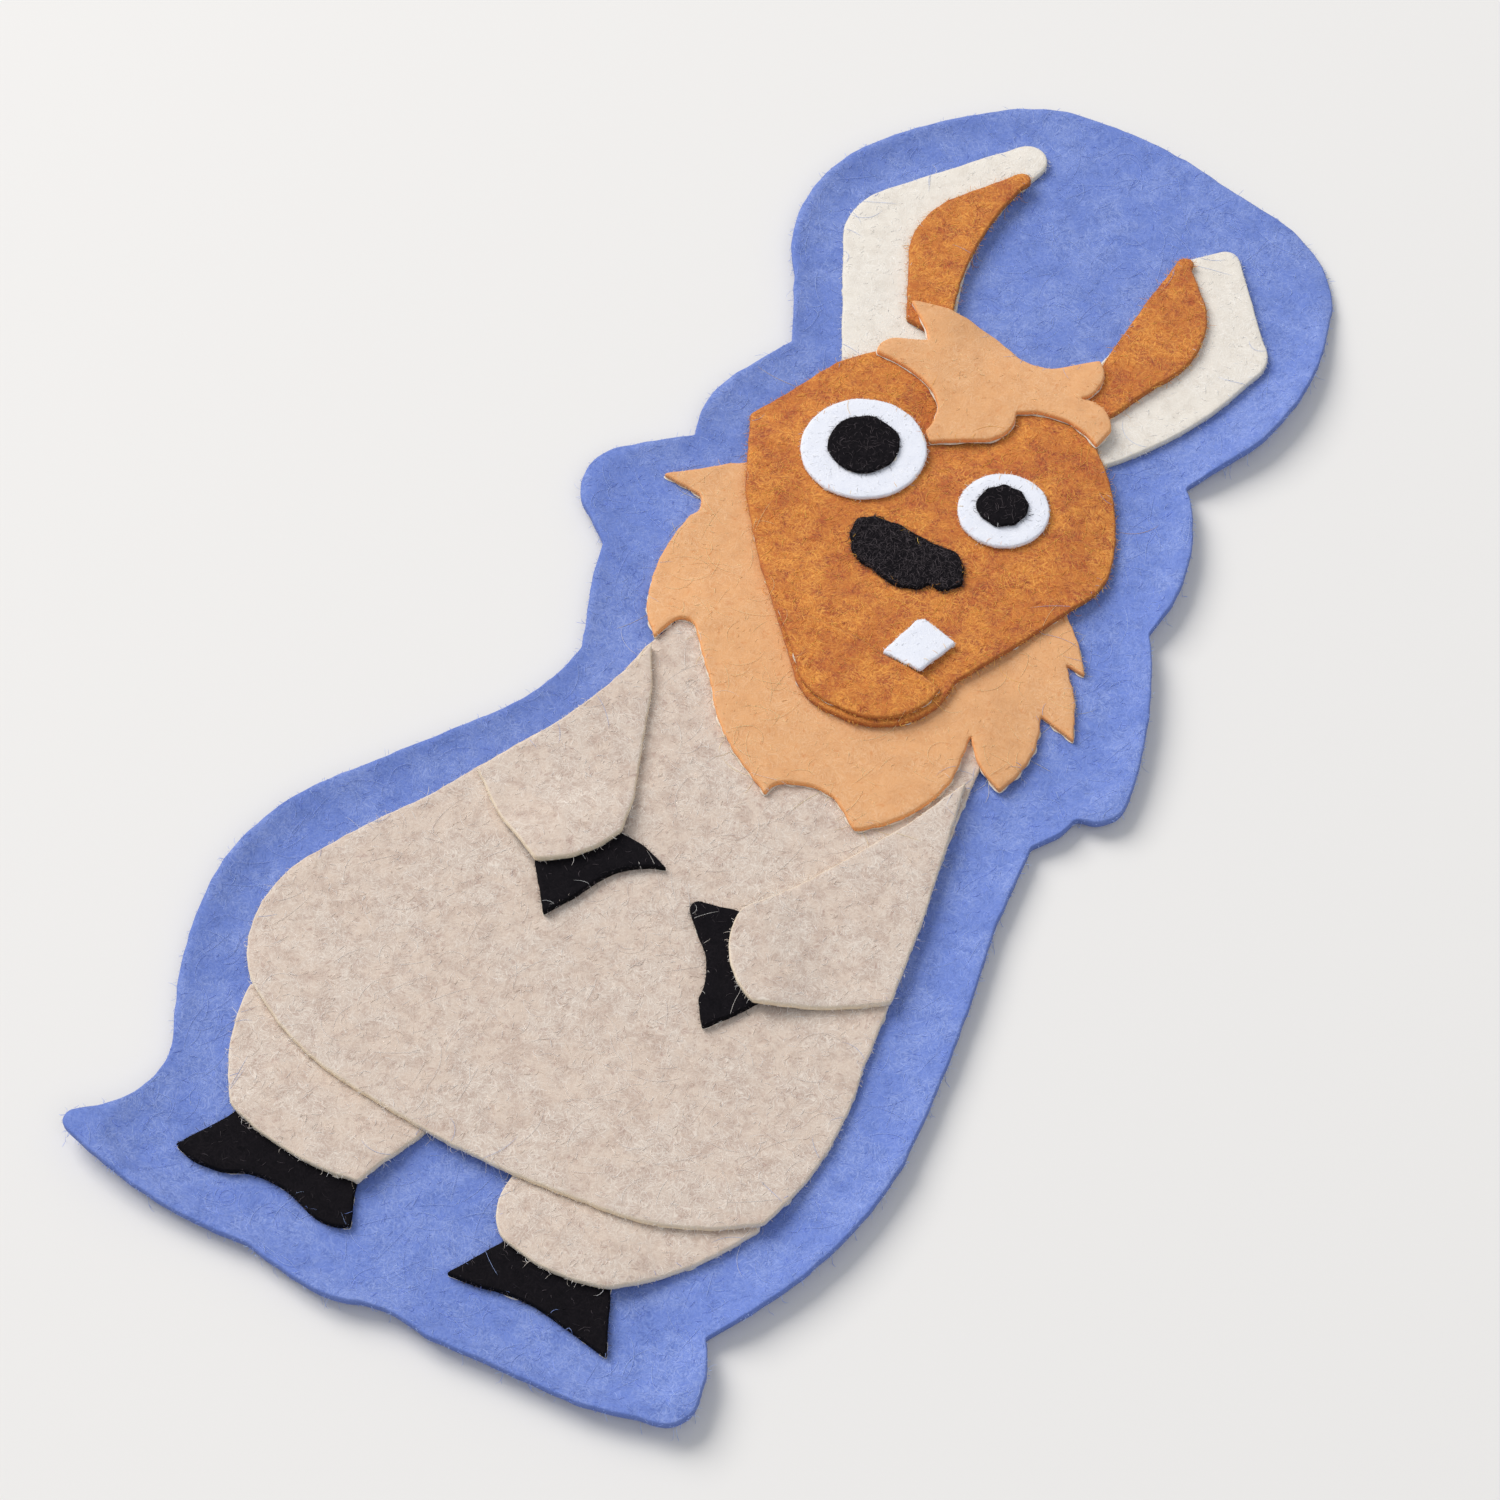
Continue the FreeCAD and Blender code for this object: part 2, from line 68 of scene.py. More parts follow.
# A layered felt patch: a long-necked woolly animal cut from thin felt and bonded to a blue
# backing. Each shape is cut along its outline in the frame, laid on what lies under it with
# its bonding film, and then given the loose hairs of needled felt. Surfaces are worked out in
# millimetres and become metres when their mesh is made.

bl_info = {
    "name": "Felt Patch",
    "version": (1, 0, 0),
    "blender": (4, 5, 0),
    "location": "View3D > Sidebar > Felt Patch",
    "description": "Cuts, lays and finishes the felt shapes of a layered patch",
    "category": "Object",
}

MM = 0.001
CAD_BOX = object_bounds()
SLOT_OF = {part["node"]: part["material_slot"] for part in frame["record"]["subparts"]}
CELL = 0.25  # spacing of the height grid
CORNER_TURN = math.radians(24)  # a sharper turn of an outline is a corner
LINE_SPACING = 0.3  # between the points of a cut line
EVEN_ROUNDS = 6  # how often a cut line is evened out between its corners
SCISSOR_WAVES = (11.0, 4.0)  # lengths over which a cut wanders
ROUGH_WAVES = (8.0, 4.0)  # the same for a shape cut by eye
SPILL_WAVES = (9.0, 3.5)  # the same for the rim of the film


def height_of(node):
    """How thick a CAD node is at rest, in metres."""
    low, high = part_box(node)
    return high.z - low.z


# ---- settings

def length(name, description, default, least=0.0):
    """A size setting."""
    return FloatProperty(name=name, description=description, default=default, min=least,
                         unit="LENGTH")


class FeltSizes(bpy.types.PropertyGroup):
    """Sizes of the felt and of the way it is cut and laid"""

    thickness: length("Felt thickness", "Thickness of every felt shape",
                      height_of("backing"), 0.0003)
    film: length("Film thickness", "Thickness of the bonding film under a shape",
                 height_of("head_web"), 0.00002)
    rounding: length("Edge rounding", "Radius of the worn upper edge of a cut",
                     0.000240, 0.0001)
    step: length("Point spacing", "Distance between the points of a felt surface",
                 0.00055, 0.0003)
    wobble: length("Scissor wobble", "How far a cut wanders off its line", 0.00002)
    overhang: length("Film overhang", "How far the film shows past its shape at most", 0.00016)
    span: length("Bridging span", "Half the width of the widest gap that felt bridges", 0.0055)
    reach: length("Bridging reach", "How far a shape stays up past an edge it lies over",
                  0.0024)
    softness: length("Bridging softness", "Roundness of the slope where a shape bridges",
                     0.0020, 0.0003)
    rim_lift: length("Rim lift", "How far the backing's rim stands off the table at most",
                     0.0022)
    relief: length("Surface relief", "Height of the small unevenness of the felt", 0.000018)
    hair: length("Hair thickness", "Radius of a loose hair", 0.000022, 0.000005)


def shade(name, description, colour):
    """A colour setting."""
    return FloatVectorProperty(name=name, description=description, subtype="COLOR",
                               size=3, min=0.0, max=1.0, default=colour)


class FeltColours(bpy.types.PropertyGroup):
    """Main colour of each felt"""

    felt_blue: shade("Blue", "Backing", (0.155, 0.235, 0.62))
    felt_oatmeal: shade("Oatmeal", "Body, arms and legs", (0.66, 0.54, 0.455))
    felt_black: shade("Black", "Hooves, nose and pupils", (0.007, 0.006, 0.008))
    felt_cream: shade("Cream", "Ears", (0.80, 0.75, 0.68))
    felt_brown: shade("Brown", "Head, jaw and ear linings", (0.54, 0.165, 0.038))
    felt_tan: shade("Tan", "Mane and forelock", (0.76, 0.40, 0.185))
    felt_white: shade("White", "Eyes and tooth", (0.80, 0.825, 0.91))
    web_film: shade("Film", "Bonding film", (0.78, 0.72, 0.62))


class Felt:
    """The fibres of one kind of felt: their colours, how much of each shows, and its hairs."""

    def __init__(self, light, dark, blotch, tint, fleck, edge, shares, hairs, spill=-1.0):
        self.light = light
        self.dark = dark
        self.blotch = blotch  # patches of one to two millimetres
        self.tint = tint  # patches of four to five millimetres
        self.fleck = fleck  # spots under a millimetre
        # The cut edge's colour is partly its cut fibres' own and partly painted light: on the
        # oatmeal it is a painted highlight.
        self.edge = edge  # the cut edge
        self.shares = dict(zip(("light", "dark", "blotch", "tint", "fleck"), shares))
        # Per square millimetre, per millimetre of cut, and their length in millimetres.
        self.surface_hairs, self.edge_hairs, self.hair_length = hairs
        self.spill = spill  # how much of its bonding film shows, from -1 to 1


FELTS = {
    "felt_blue": Felt(
        light=(0.36, 0.45, 0.80), dark=(0.075, 0.12, 0.39), blotch=(0.135, 0.21, 0.54),
        tint=(0.215, 0.30, 0.67), fleck=(0.10, 0.16, 0.47), edge=(0.10, 0.16, 0.46),
        shares=(0.54, 0.60, 0.50, 0.45, 0.3), hairs=(0.9, 4.0, 0.95)),
    # Its pale edge colour is a painted highlight on the cut edge.
    "felt_oatmeal": Felt(
        light=(0.88, 0.81, 0.73), dark=(0.34, 0.25, 0.20), blotch=(0.50, 0.375, 0.315),
        tint=(0.60, 0.51, 0.45), fleck=(0.36, 0.22, 0.19), edge=(0.95, 0.81, 0.58),
        shares=(0.55, 0.35, 0.60, 0.5, 0.5), hairs=(1.6, 4.0, 0.8)),
    "felt_black": Felt(
        light=(0.110, 0.090, 0.100), dark=(0.002, 0.002, 0.003), blotch=(0.006, 0.005, 0.007),
        tint=(0.006, 0.005, 0.007), fleck=(0.003, 0.003, 0.004), edge=(0.004, 0.004, 0.005),
        shares=(0.06, 0.6, 0.5, 0.4, 0.5), hairs=(0.5, 8.0, 0.7)),
    "felt_cream": Felt(
        light=(0.93, 0.90, 0.85), dark=(0.60, 0.54, 0.47), blotch=(0.68, 0.62, 0.55),
        tint=(0.76, 0.71, 0.65), fleck=(0.66, 0.60, 0.52), edge=(0.76, 0.69, 0.52),
        shares=(0.5, 0.25, 0.40, 0.4, 0.3), hairs=(1.1, 5.0, 0.7)),
    "felt_brown": Felt(
        light=(0.94, 0.44, 0.10), dark=(0.17, 0.038, 0.028), blotch=(0.42, 0.084, 0.032),
        tint=(0.64, 0.220, 0.044), fleck=(0.24, 0.042, 0.036), edge=(0.38, 0.11, 0.025),
        shares=(0.68, 0.66, 0.68, 0.75, 0.6), hairs=(2.4, 8.0, 1.0)),
    "felt_tan": Felt(
        light=(0.90, 0.59, 0.36), dark=(0.56, 0.26, 0.10), blotch=(0.68, 0.34, 0.155),
        tint=(0.72, 0.39, 0.185), fleck=(0.62, 0.22, 0.065), edge=(0.94, 0.38, 0.11),
        shares=(0.42, 0.34, 0.46, 0.4, 0.5), hairs=(0.6, 4.0, 0.6), spill=0.35),
    "felt_white": Felt(
        light=(0.93, 0.94, 0.98), dark=(0.70, 0.73, 0.86), blotch=(0.76, 0.79, 0.89),
        tint=(0.80, 0.82, 0.91), fleck=(0.74, 0.77, 0.88), edge=(0.80, 0.82, 0.91),
        shares=(0.4, 0.3, 0.35, 0.4, 0.3), hairs=(2.0, 14.0, 0.4)),
}


# Share of its thickness that a shape keeps once it is ironed on. The small ones sink in more.
PRESSED = {"backing": 1.0, "mane": 0.7, "head": 0.72, "jaw": 0.5, "forelock": 0.7,
           "left_eye_white": 0.5, "right_eye_white": 0.5, "left_pupil": 0.35,
           "right_pupil": 0.35, "tooth": 0.5, "nose": 0.45}
PRESSED_ELSEWHERE = 0.78

# How far the scissors stray on the small shapes cut by eye, in millimetres.
ROUGH_CUT = {"left_pupil": 0.08, "right_pupil": 0.07, "nose": 0.06}

# How many more loose hairs than the rest of its felt a shape has.
FUZZ = {"left_pupil": 9.0, "right_pupil": 9.0, "nose": 34.0}

# How many long loose fibres lie on a shape.
STRAYS = {"backing": 420, "body": 160, "mane": 90, "head": 30}

# How far a shape was put down beside its outline, in millimetres to the right and upwards.
PUT_DOWN = {"forelock": (0.55, -1.15), "left_eye_white": (0.2, -0.65),
            "right_eye_white": (0.0, -0.65), "left_pupil": (0.1, -0.45),
            "right_pupil": (-0.25, -0.45)}


# ---- outlines

WELD_DECIMALS = 3  # places that agree to so many decimals are one point
FACES_UP = 0.3  # the least upward share of a face that is part of a shape's top


def outline_of(node):
    """The outline of a CAD shape seen from above, anticlockwise, in millimetres."""
    mesh = frame["nodes"][node].data
    mesh.calc_loop_triangles()
    points = np.array([v.co for v in mesh.vertices]) / MM
    places, welded = np.unique(np.round(points, WELD_DECIMALS), axis=0, return_inverse=True)
    welded = welded.ravel()
    onward = {}
    for triangle in mesh.loop_triangles:
        if triangle.normal.z > FACES_UP:
            a, b, c = (int(welded[i]) for i in triangle.vertices)
            for start, end in ((a, b), (b, c), (c, a)):
                onward[start, end] = True
    following = {a: b for a, b in onward if (b, a) not in onward}
    first = min(following)
    loop = [first]
    while following[loop[-1]] != first:
        loop.append(following[loop[-1]])
    return places[loop][:, :2]


def turns(line):
    """How far a closed line turns at each of its points."""
    before = line - np.roll(line, 1, 0)
    after = np.roll(line, -1, 0) - line
    cross = before[:, 0] * after[:, 1] - before[:, 1] * after[:, 0]
    return np.abs(np.arctan2(cross, (before * after).sum(1)))


def divided(line, spacing):
    """A closed line with points added so that none are further apart than the spacing."""
    parts = []
    for a, b in zip(line, np.roll(line, -1, 0)):
        count = max(1, math.ceil(np.linalg.norm(b - a) / spacing))
        parts.append(a + (b - a) * np.arange(count)[:, None] / count)
    return np.concatenate(parts)


def smoothed(line, corners, rounds):
    """A closed line evened out between its corners."""
    for _ in range(rounds):
        middle = (np.roll(line, 1, 0) + np.roll(line, -1, 0)) / 2
        line = np.where(corners[:, None], line, line * 0.5 + middle * 0.5)
    return line


def outward(line):
    """Unit normals of an anticlockwise line, pointing out of it."""
    run = np.roll(line, -1, 0) - np.roll(line, 1, 0)
    run /= np.maximum(np.linalg.norm(run, axis=1), 1e-9)[:, None]
    return np.column_stack((run[:, 1], -run[:, 0]))


def wandering(line, wavelengths, rng):
    """A smooth random number, mostly from -1 to 1, for each point of a closed line."""
    steps = np.linalg.norm(np.roll(line, -1, 0) - line, axis=1)
    way = np.concatenate(([0], np.cumsum(steps)[:-1]))
    total = steps.sum()
    value = np.zeros(len(line))
    for wavelength in wavelengths:
        cycles = max(1, round(total / wavelength))
        for k in range(cycles, 2 * cycles + 1, max(1, cycles // 4)):
            value += rng.normal() * np.sin(2 * math.pi * k * way / total + rng.uniform(0, 6.3))
    return value / math.sqrt(2 * len(wavelengths))


def cut_line(node, sizes, rng):
    """The line that the scissors follow round a shape."""
    rough = outline_of(node) + np.array(PUT_DOWN.get(node, (0, 0)))
    line = divided(rough, LINE_SPACING)
    sharp = rough[turns(rough) > CORNER_TURN]
    corners = np.array([bool(len(sharp)) and np.abs(sharp - p).sum(1).min() < 1e-6 for p in line])
    line = smoothed(line, corners, EVEN_ROUNDS)
    line = smoothed(line, np.zeros(len(line), bool), 1)
    stray = wandering(line, SCISSOR_WAVES, rng) * sizes.wobble / MM
    if node in ROUGH_CUT:
        stray = stray + wandering(line, ROUGH_WAVES, rng) * ROUGH_CUT[node]
    return line + outward(line) * stray[:, None]


# ---- heights

def shifted(grid, rows, columns):
    """A grid moved by whole cells, its edge cells repeated."""
    padded = np.pad(grid, ((abs(rows),) * 2, (abs(columns),) * 2), mode="edge")
    top, left = abs(rows) - rows, abs(columns) - columns
    return padded[top:top + grid.shape[0], left:left + grid.shape[1]]


def blurred(grid, width):
    """A grid under a bell-shaped blur whose width is in millimetres."""
    sigma = width / CELL
    reach = math.ceil(3 * sigma)
    weights = np.exp(-0.5 * (np.arange(-reach, reach + 1) / sigma) ** 2)
    weights /= weights.sum()
    down = sum(w * shifted(grid, k - reach, 0) for k, w in enumerate(weights))
    return sum(w * shifted(down, 0, k - reach) for k, w in enumerate(weights))


def raised(grid, radius):
    """The highest value of a grid within a distance, in millimetres, of each cell."""
    cells = math.floor(radius / CELL)
    for side in range(2):
        source = grid
        for k in range(-cells, cells + 1):
            moved = shifted(source, k * (1 - side), k * side)
            grid = np.maximum(grid, moved)
    return grid


def unevenness(shape, width, rng):
    """A grid of smooth random numbers of spread 1, with features of a width in millimetres."""
    grid = blurred(rng.normal(size=shape), width)
    return grid / grid.std()


class Surface:
    """Heights, in millimetres, on a square grid."""

    def __init__(self, corner, grid):
        self.corner = corner
        self.grid = grid

    def at(self, points):
        """Heights at points, read between the grid's cells."""
        rows, columns = self.grid.shape
        place = (points[..., :2] - self.corner) / CELL
        place = np.clip(place, 0, (columns - 1.001, rows - 1.001))
        x, y = np.moveaxis(place.astype(int), -1, 0)
        u, v = np.moveaxis(place - place.astype(int), -1, 0)
        low = self.grid[y, x] * (1 - u) + self.grid[y, x + 1] * u
        high = self.grid[y + 1, x] * (1 - u) + self.grid[y + 1, x + 1] * u
        return low * (1 - v) + high * v

    def covered(self, line):
        """Which cells lie inside a closed line, by its crossings of each row."""
        rows, columns = self.grid.shape
        x, y = line.T
        x_next, y_next = np.roll(x, -1), np.roll(y, -1)
        across = self.corner[0] + CELL * np.arange(columns)
        mask = np.zeros(self.grid.shape, bool)
        for row in range(rows):
            level = self.corner[1] + CELL * row
            cut = (y > level) != (y_next > level)
            part = (level - y[cut]) / (y_next[cut] - y[cut])
            crossings = x[cut] + part * (x_next[cut] - x[cut])
            mask[row] = (crossings[:, None] < across).sum(0) % 2 == 1
        return mask


class Pile:
    """Everything laid so far: its height over the table, and the shape that is on top."""

    MARGIN = 6.0  # bare table round the patch
    ROOM = 3.0  # grid kept round a shape
    RELIEF_WIDTHS = (0.45, 2.5)  # of the finer and the broader bumps of felt

    def __init__(self, low, high):
        corner = np.array(low[:2]) / MM - self.MARGIN
        reach = np.array(high[:2]) / MM + self.MARGIN - corner
        columns, rows = np.ceil(reach / CELL).astype(int)
        self.top = Surface(corner, np.zeros((rows, columns)))
        self.owner = np.full((rows, columns), -1)
        self.shapes = []

    def window(self, line):
        """The slices of the grid round a line."""
        low = np.floor((line.min(0) - self.top.corner - self.ROOM) / CELL).astype(int)
        high = np.ceil((line.max(0) - self.top.corner + self.ROOM) / CELL).astype(int)
        low = np.maximum(low, 0)
        return slice(low[1], high[1]), slice(low[0], high[0])

    def receive(self, shape, sizes):
        """Lay a shape on the pile, and give it its underside."""
        part = self.window(shape.line)
        corner = self.top.corner + CELL * np.array([part[1].start, part[0].start])
        support = Surface(corner, self.top.grid[part])
        mask = support.covered(shape.line)
        if shape.film:
            under = bridged(support.grid, mask, sizes)
        else:
            under = lifted_rim(mask, sizes, shape.rng)
        shape.under = Surface(corner, under)
        relief = sum(unevenness(under.shape, width, shape.rng) for width in self.RELIEF_WIDTHS)
        shape.over = Surface(corner, under + shape.film + shape.thickness
                             + relief * sizes.relief / MM)
        self.top.grid[part] = np.where(mask, shape.over.grid, support.grid)
        self.owner[part] = np.where(mask, len(self.shapes), self.owner[part])
        self.shapes.append(shape)


def bridged(support, mask, sizes):
    """Underside of soft felt laid on a support: it spans gaps and slopes down from edges."""
    held = np.where(mask, support, support[mask].min())
    closed = -raised(-raised(held, sizes.span / MM), sizes.span / MM)
    high = np.where(mask, raised(closed, sizes.reach / MM), 0)
    weight = blurred(mask.astype(float), sizes.softness / MM)
    under = blurred(high, sizes.softness / MM) / np.maximum(weight, 1e-4)
    return np.where(mask, np.maximum(under, support), under)


RIM_WIDTH = 4.0  # how far in from its rim the backing may lift
RIM_STEEPNESS = 2.2
RIM_CURVE = 1.5
RIM_WAVE = 13.0  # length of the rim's lifted places
MEAN_LIFT = 0.45
LIFT_SPREAD = 0.4


def lifted_rim(mask, sizes, rng):
    """Underside of the backing: flat on the table, with a rim that lifts here and there."""
    rim = RIM_STEEPNESS * (1 - blurred(mask.astype(float), RIM_WIDTH))
    rim = np.clip(rim, 0, 1) ** RIM_CURVE
    waves = MEAN_LIFT + LIFT_SPREAD * unevenness(mask.shape, RIM_WAVE, rng)
    waves = np.clip(waves, 0, 1)
    return rim * waves * sizes.rim_lift / MM


# ---- meshes

def add_mesh(name, points, faces, values):
    """A smooth-shaded object from points in millimetres, with a number on each point."""
    mesh = bpy.data.meshes.new(name)
    mesh.from_pydata(points * MM, [], faces)
    for key, numbers in values.items():
        layer = mesh.attributes.new(key, "FLOAT", "POINT")
        layer.data.foreach_set("value", np.asarray(numbers, np.float32))
    mesh.polygons.foreach_set("use_smooth", np.ones(len(mesh.polygons), bool))
    mesh.update()
    piece = bpy.data.objects.new(name, mesh)
    bpy.context.scene.collection.objects.link(piece)
    return piece


class Cut:
    """The inside of a closed line: how deep points lie in it, and triangles that fill it."""

    PROBE_SPACING = 0.08  # of the points that stand for the line when depth is measured
    RING_ROOM = 0.85  # share of its depth that a ring's point must keep from the line
    WHOLLY_INSIDE = 0.99  # of the mask
    UNEVENNESS = 0.22  # of scattered points, as a share of their spacing

    def __init__(self, line, mask):
        self.line = line
        self.normals = outward(line)
        self.mask = mask  # a Surface that is 1 inside the line
        dense = divided(line, self.PROBE_SPACING)
        self.tree = KDTree(len(dense))
        for index, (x, y) in enumerate(dense):
            self.tree.insert((x, y, 0), index)
        self.tree.balance()

    def depth(self, points):
        """Distance from points to the line."""
        return np.array([self.tree.find((x, y, 0))[2] for x, y in points])

    def ring(self, depth):
        """Points a little way inside the line, left out where it is too narrow for them."""
        points = self.line - self.normals * depth
        return points[self.depth(points) > self.RING_ROOM * depth]

    def scatter(self, step, margin, rng):
        """Uneven points over the inside, no nearer to the line than the margin."""
        low, high = self.line.min(0), self.line.max(0)
        rise = step * math.sqrt(3) / 2
        rows = np.arange(low[1], high[1], rise)
        grid = np.array([(x + (k % 2) * step / 2, y) for k, y in enumerate(rows)
                         for x in np.arange(low[0], high[0], step)])
        grid += rng.uniform(-self.UNEVENNESS, self.UNEVENNESS, grid.shape) * step
        grid = grid[self.mask.at(grid) > self.WHOLLY_INSIDE]
        return grid[self.depth(grid) > margin] if len(grid) else grid

    def filled(self, rings, step, margin, rng):
        """The line's points with inner points after them, and the triangles between them."""
        inner = [self.ring(depth) for depth in rings] + [self.scatter(step, margin, rng)]
        points = np.concatenate([self.line] + [p.reshape(-1, 2) for p in inner])
        count = len(self.line)
        _, _, faces, sources, _, within = delaunay_2d_cdt(
            [Vector(p) for p in points], [], [list(range(count))], 0, 1e-6, True)
        if not all(sources):
            raise RuntimeError("the cut line crosses itself")
        names = [source[0] for source in sources]
        inside = [face for face, owners in zip(faces, within) if owners]
        return points, [[names[i] for i in face] for face in inside]


SHOULDER = 0.35  # where the first ring of points lies, as a share of the rounding
CLEARANCE = 0.6  # from the rounding to the scattered points, as a share of their spacing
BASE_COARSENESS = 2.2  # the unseen side has fewer points
WALL_RINGS = ((0.62, 0.0), (0.25, 0.02))  # share of the wall's height, and how far in
WALL_ROUGHNESS = 0.02
FOOT_INSET = 0.04  # how far in the wall stands at its foot
EDGE_BAND = 0.22  # width of the band of cut-edge colour on the top, partly painted light
EDGE_SHARE = 0.7  # how much of it the top takes up at the edge


def slab(name, cut, over, under, rounding, step, rng):
    """A closed sheet between two surfaces, with a rounded upper edge and a fibrous wall."""
    count = len(cut.line)
    rings = (rounding * SHOULDER, rounding)
    top, top_faces = cut.filled(rings, step, rounding + step * CLEARANCE, rng)
    base, base_faces = cut.filled(rings[1:], step * BASE_COARSENESS, rounding + step, rng)
    depth = cut.depth(top)
    depth[:count] = 0
    slope = np.clip(1 - depth / rounding, 0, 1)
    top_z = over.at(top) - rounding * (1 - np.sqrt(1 - slope ** 2))
    base_z = under.at(base)
    line_top, line_base = top_z[:count], base_z[:count]
    walls = []
    for share, inset in WALL_RINGS:
        ring = cut.line - cut.normals * (inset + rng.normal(0, WALL_ROUGHNESS, count))[:, None]
        walls.append(np.column_stack((ring, line_base + (line_top - line_base) * share)))
    base[:count] -= cut.normals * FOOT_INSET
    points = np.concatenate([np.column_stack((top, top_z)), *walls,
                             np.column_stack((base, base_z))])
    starts = [0, len(top), len(top) + count, len(top) + 2 * count]
    faces = list(top_faces)
    for upper, lower in zip(starts, starts[1:]):
        for i in range(count):
            j = (i + 1) % count
            faces.append((upper + j, upper + i, lower + i, lower + j))
    faces += [[starts[-1] + i for i in reversed(face)] for face in base_faces]
    # Share of the cut edge's colour, partly painted light, on the top near the line.
    cut_colour_and_painted_light = np.clip(1 - depth / EDGE_BAND, 0, 1) * EDGE_SHARE
    foot = np.where(np.arange(len(base)) < count, 1, 0)
    edge = np.concatenate([cut_colour_and_painted_light, np.ones(2 * count), foot])
    return add_mesh(name, points, faces, {"edge": edge})


HAIR_TAPER = 0.75  # how much of its thickness a hair loses at its ends
TAPER_POWER = 3


def tubes(name, ways, radius, tone):
    """Closed three-sided tubes along many short ways, each tapered at both ends."""
    count, steps = ways.shape[:2]
    run = np.gradient(ways, axis=1)
    run /= np.maximum(np.linalg.norm(run, axis=2, keepdims=True), 1e-9)
    side = np.cross(run, (0, 0, 1.0))
    side /= np.maximum(np.linalg.norm(side, axis=2, keepdims=True), 1e-9)
    rise = np.cross(side, run)
    taper = 1 - HAIR_TAPER * np.abs(np.linspace(-1, 1, steps)) ** TAPER_POWER
    thick = radius[:, None] * taper
    corners = []
    for angle in np.radians((90, 210, 330)):
        out = side * math.cos(angle) + rise * math.sin(angle)
        corners.append(ways + thick[..., None] * out)
    points = np.stack(corners, axis=2).reshape(-1, 3)
    starts = np.arange(count)[:, None] * steps * 3
    quads = []
    for step in range(steps - 1):
        for a, b in ((0, 1), (1, 2), (2, 0)):
            here, there = step * 3, step * 3 + 3
            quads.append(starts + np.array([here + a, there + a, there + b, here + b]))
    last = (steps - 1) * 3
    ends = [starts + np.array([0, 1, 2]), starts + np.array([last + 2, last + 1, last])]
    faces = np.concatenate(quads).tolist() + np.concatenate(ends).tolist()
    return add_mesh(name, points, faces, {"tone": np.repeat(tone, steps * 3)})


# ---- shapes

FILM_STEP = 1.6  # spacing of the film's points
FILM_ROUNDING = 0.4  # of the film's edge, as a share of its thickness
SPILL_SPREAD = 0.5
SPILL_ROOM = 0.95  # share of its spill that a point of the film must keep from the shape
CROWD_REACH = 3  # points each side of a tight corner where the film keeps to its shape


class Shape:
    """One felt shape, from its outline to the pieces that stand for it."""

    def __init__(self, node, sizes):
        self.node = node
        self.slot = SLOT_OF[node]
        self.rng = np.random.default_rng(zlib.crc32(node.encode()))
        self.thickness = sizes.thickness / MM * PRESSED.get(node, PRESSED_ELSEWHERE)
        self.film = sizes.film / MM if node + "_web" in frame["nodes"] else 0.0
        self.line = cut_line(node, sizes, self.rng)
        self.under = None  # set when it is laid
        self.over = None
        self.pieces = []

    def add(self, piece, material):
        """Let a piece take this shape's finish and go where the patch goes."""
        piece.data.materials.append(material)
        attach(piece, "root")
        self.pieces.append(piece)

    def inside(self, line):
        """What lies inside a line, ready to be filled."""
        return Cut(line, Surface(self.over.corner, self.over.covered(line).astype(float)))

    def make_felt(self, sizes):
        """The felt itself, on top of its film."""
        floor = Surface(self.under.corner, self.under.grid + self.film)
        piece = slab(self.node + "_felt", self.inside(self.line), self.over, floor,
                     sizes.rounding / MM, sizes.step / MM, self.rng)
        self.add(piece, finish_of(self.slot + "_cloth", self.slot, felt_material))
        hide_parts(self.node)

    def make_film(self, sizes):
        """The bonding film, which melts out unevenly past the shape's edge."""
        spill = SPILL_SPREAD * wandering(self.line, SPILL_WAVES, self.rng)
        spill = np.clip(FELTS[self.slot].spill + spill, -1, 1) * sizes.overhang / MM
        normals = outward(self.line)
        moved = Cut(self.line, None).depth(self.line + normals * spill[:, None])
        crowded = moved < SPILL_ROOM * np.abs(spill)
        for k in range(-CROWD_REACH, CROWD_REACH + 1):
            spill[np.roll(crowded, k)] = 0
        line = self.line + normals * spill[:, None]
        over = Surface(self.under.corner, self.under.grid + self.film)
        piece = slab(self.node + "_film", self.inside(line), over, self.under,
                     self.film * FILM_ROUNDING, FILM_STEP, self.rng)
        self.add(piece, finish_of("film", "web_film", film_material))
        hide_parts(self.node + "_web")


PILE = Pile(*CAD_BOX)


def lay(context, *nodes):
    """Cut the named shapes and lay each, with its film, on what is there already."""
    sizes = context.scene.felt_sizes
    for node in nodes:
        shape = Shape(node, sizes)
        PILE.receive(shape, sizes)
        shape.make_felt(sizes)
        if shape.film:
            shape.make_film(sizes)
    return {"FINISHED"}


# ---- loose hairs

HAIR_STEPS = 5  # points along a hair
CURL = 1.3  # spread of the angle that a hair turns through
HAIR_LENGTHS = (0.5, 1.7)  # of hairs on the surface, as shares of the usual length
HAIR_ARCH = (1.6, 0.035)  # shape and scale of the heights of their middles
SUNK = 0.015  # how deep their ends lie
EDGE_LENGTHS = (1.8, 0.18)  # shape and scale of the lengths of hairs on a cut
EDGE_ROOT = 0.06  # how far in they start
EDGE_SCATTER = 0.15
EDGE_SPREAD = 1.0  # of their headings
EDGE_FOOT = 0.08  # where they start, over the underside at least
EDGE_HEAD = 0.12  # and under the top at least
RISE_MEAN, RISE_SPREAD, RISE_CURVE = 0.05, 0.28, 1.5
SUPPORT_GAP = 0.03  # how far over what lies below they stay
SUPPORT_LIMIT = 0.4  # the most that they are pushed up for it
STRAY_STEPS = 15  # points along a long loose fibre
STRAY_LENGTHS = (2.0, 6.5)
STRAY_HEIGHTS = (0.02, 0.10)


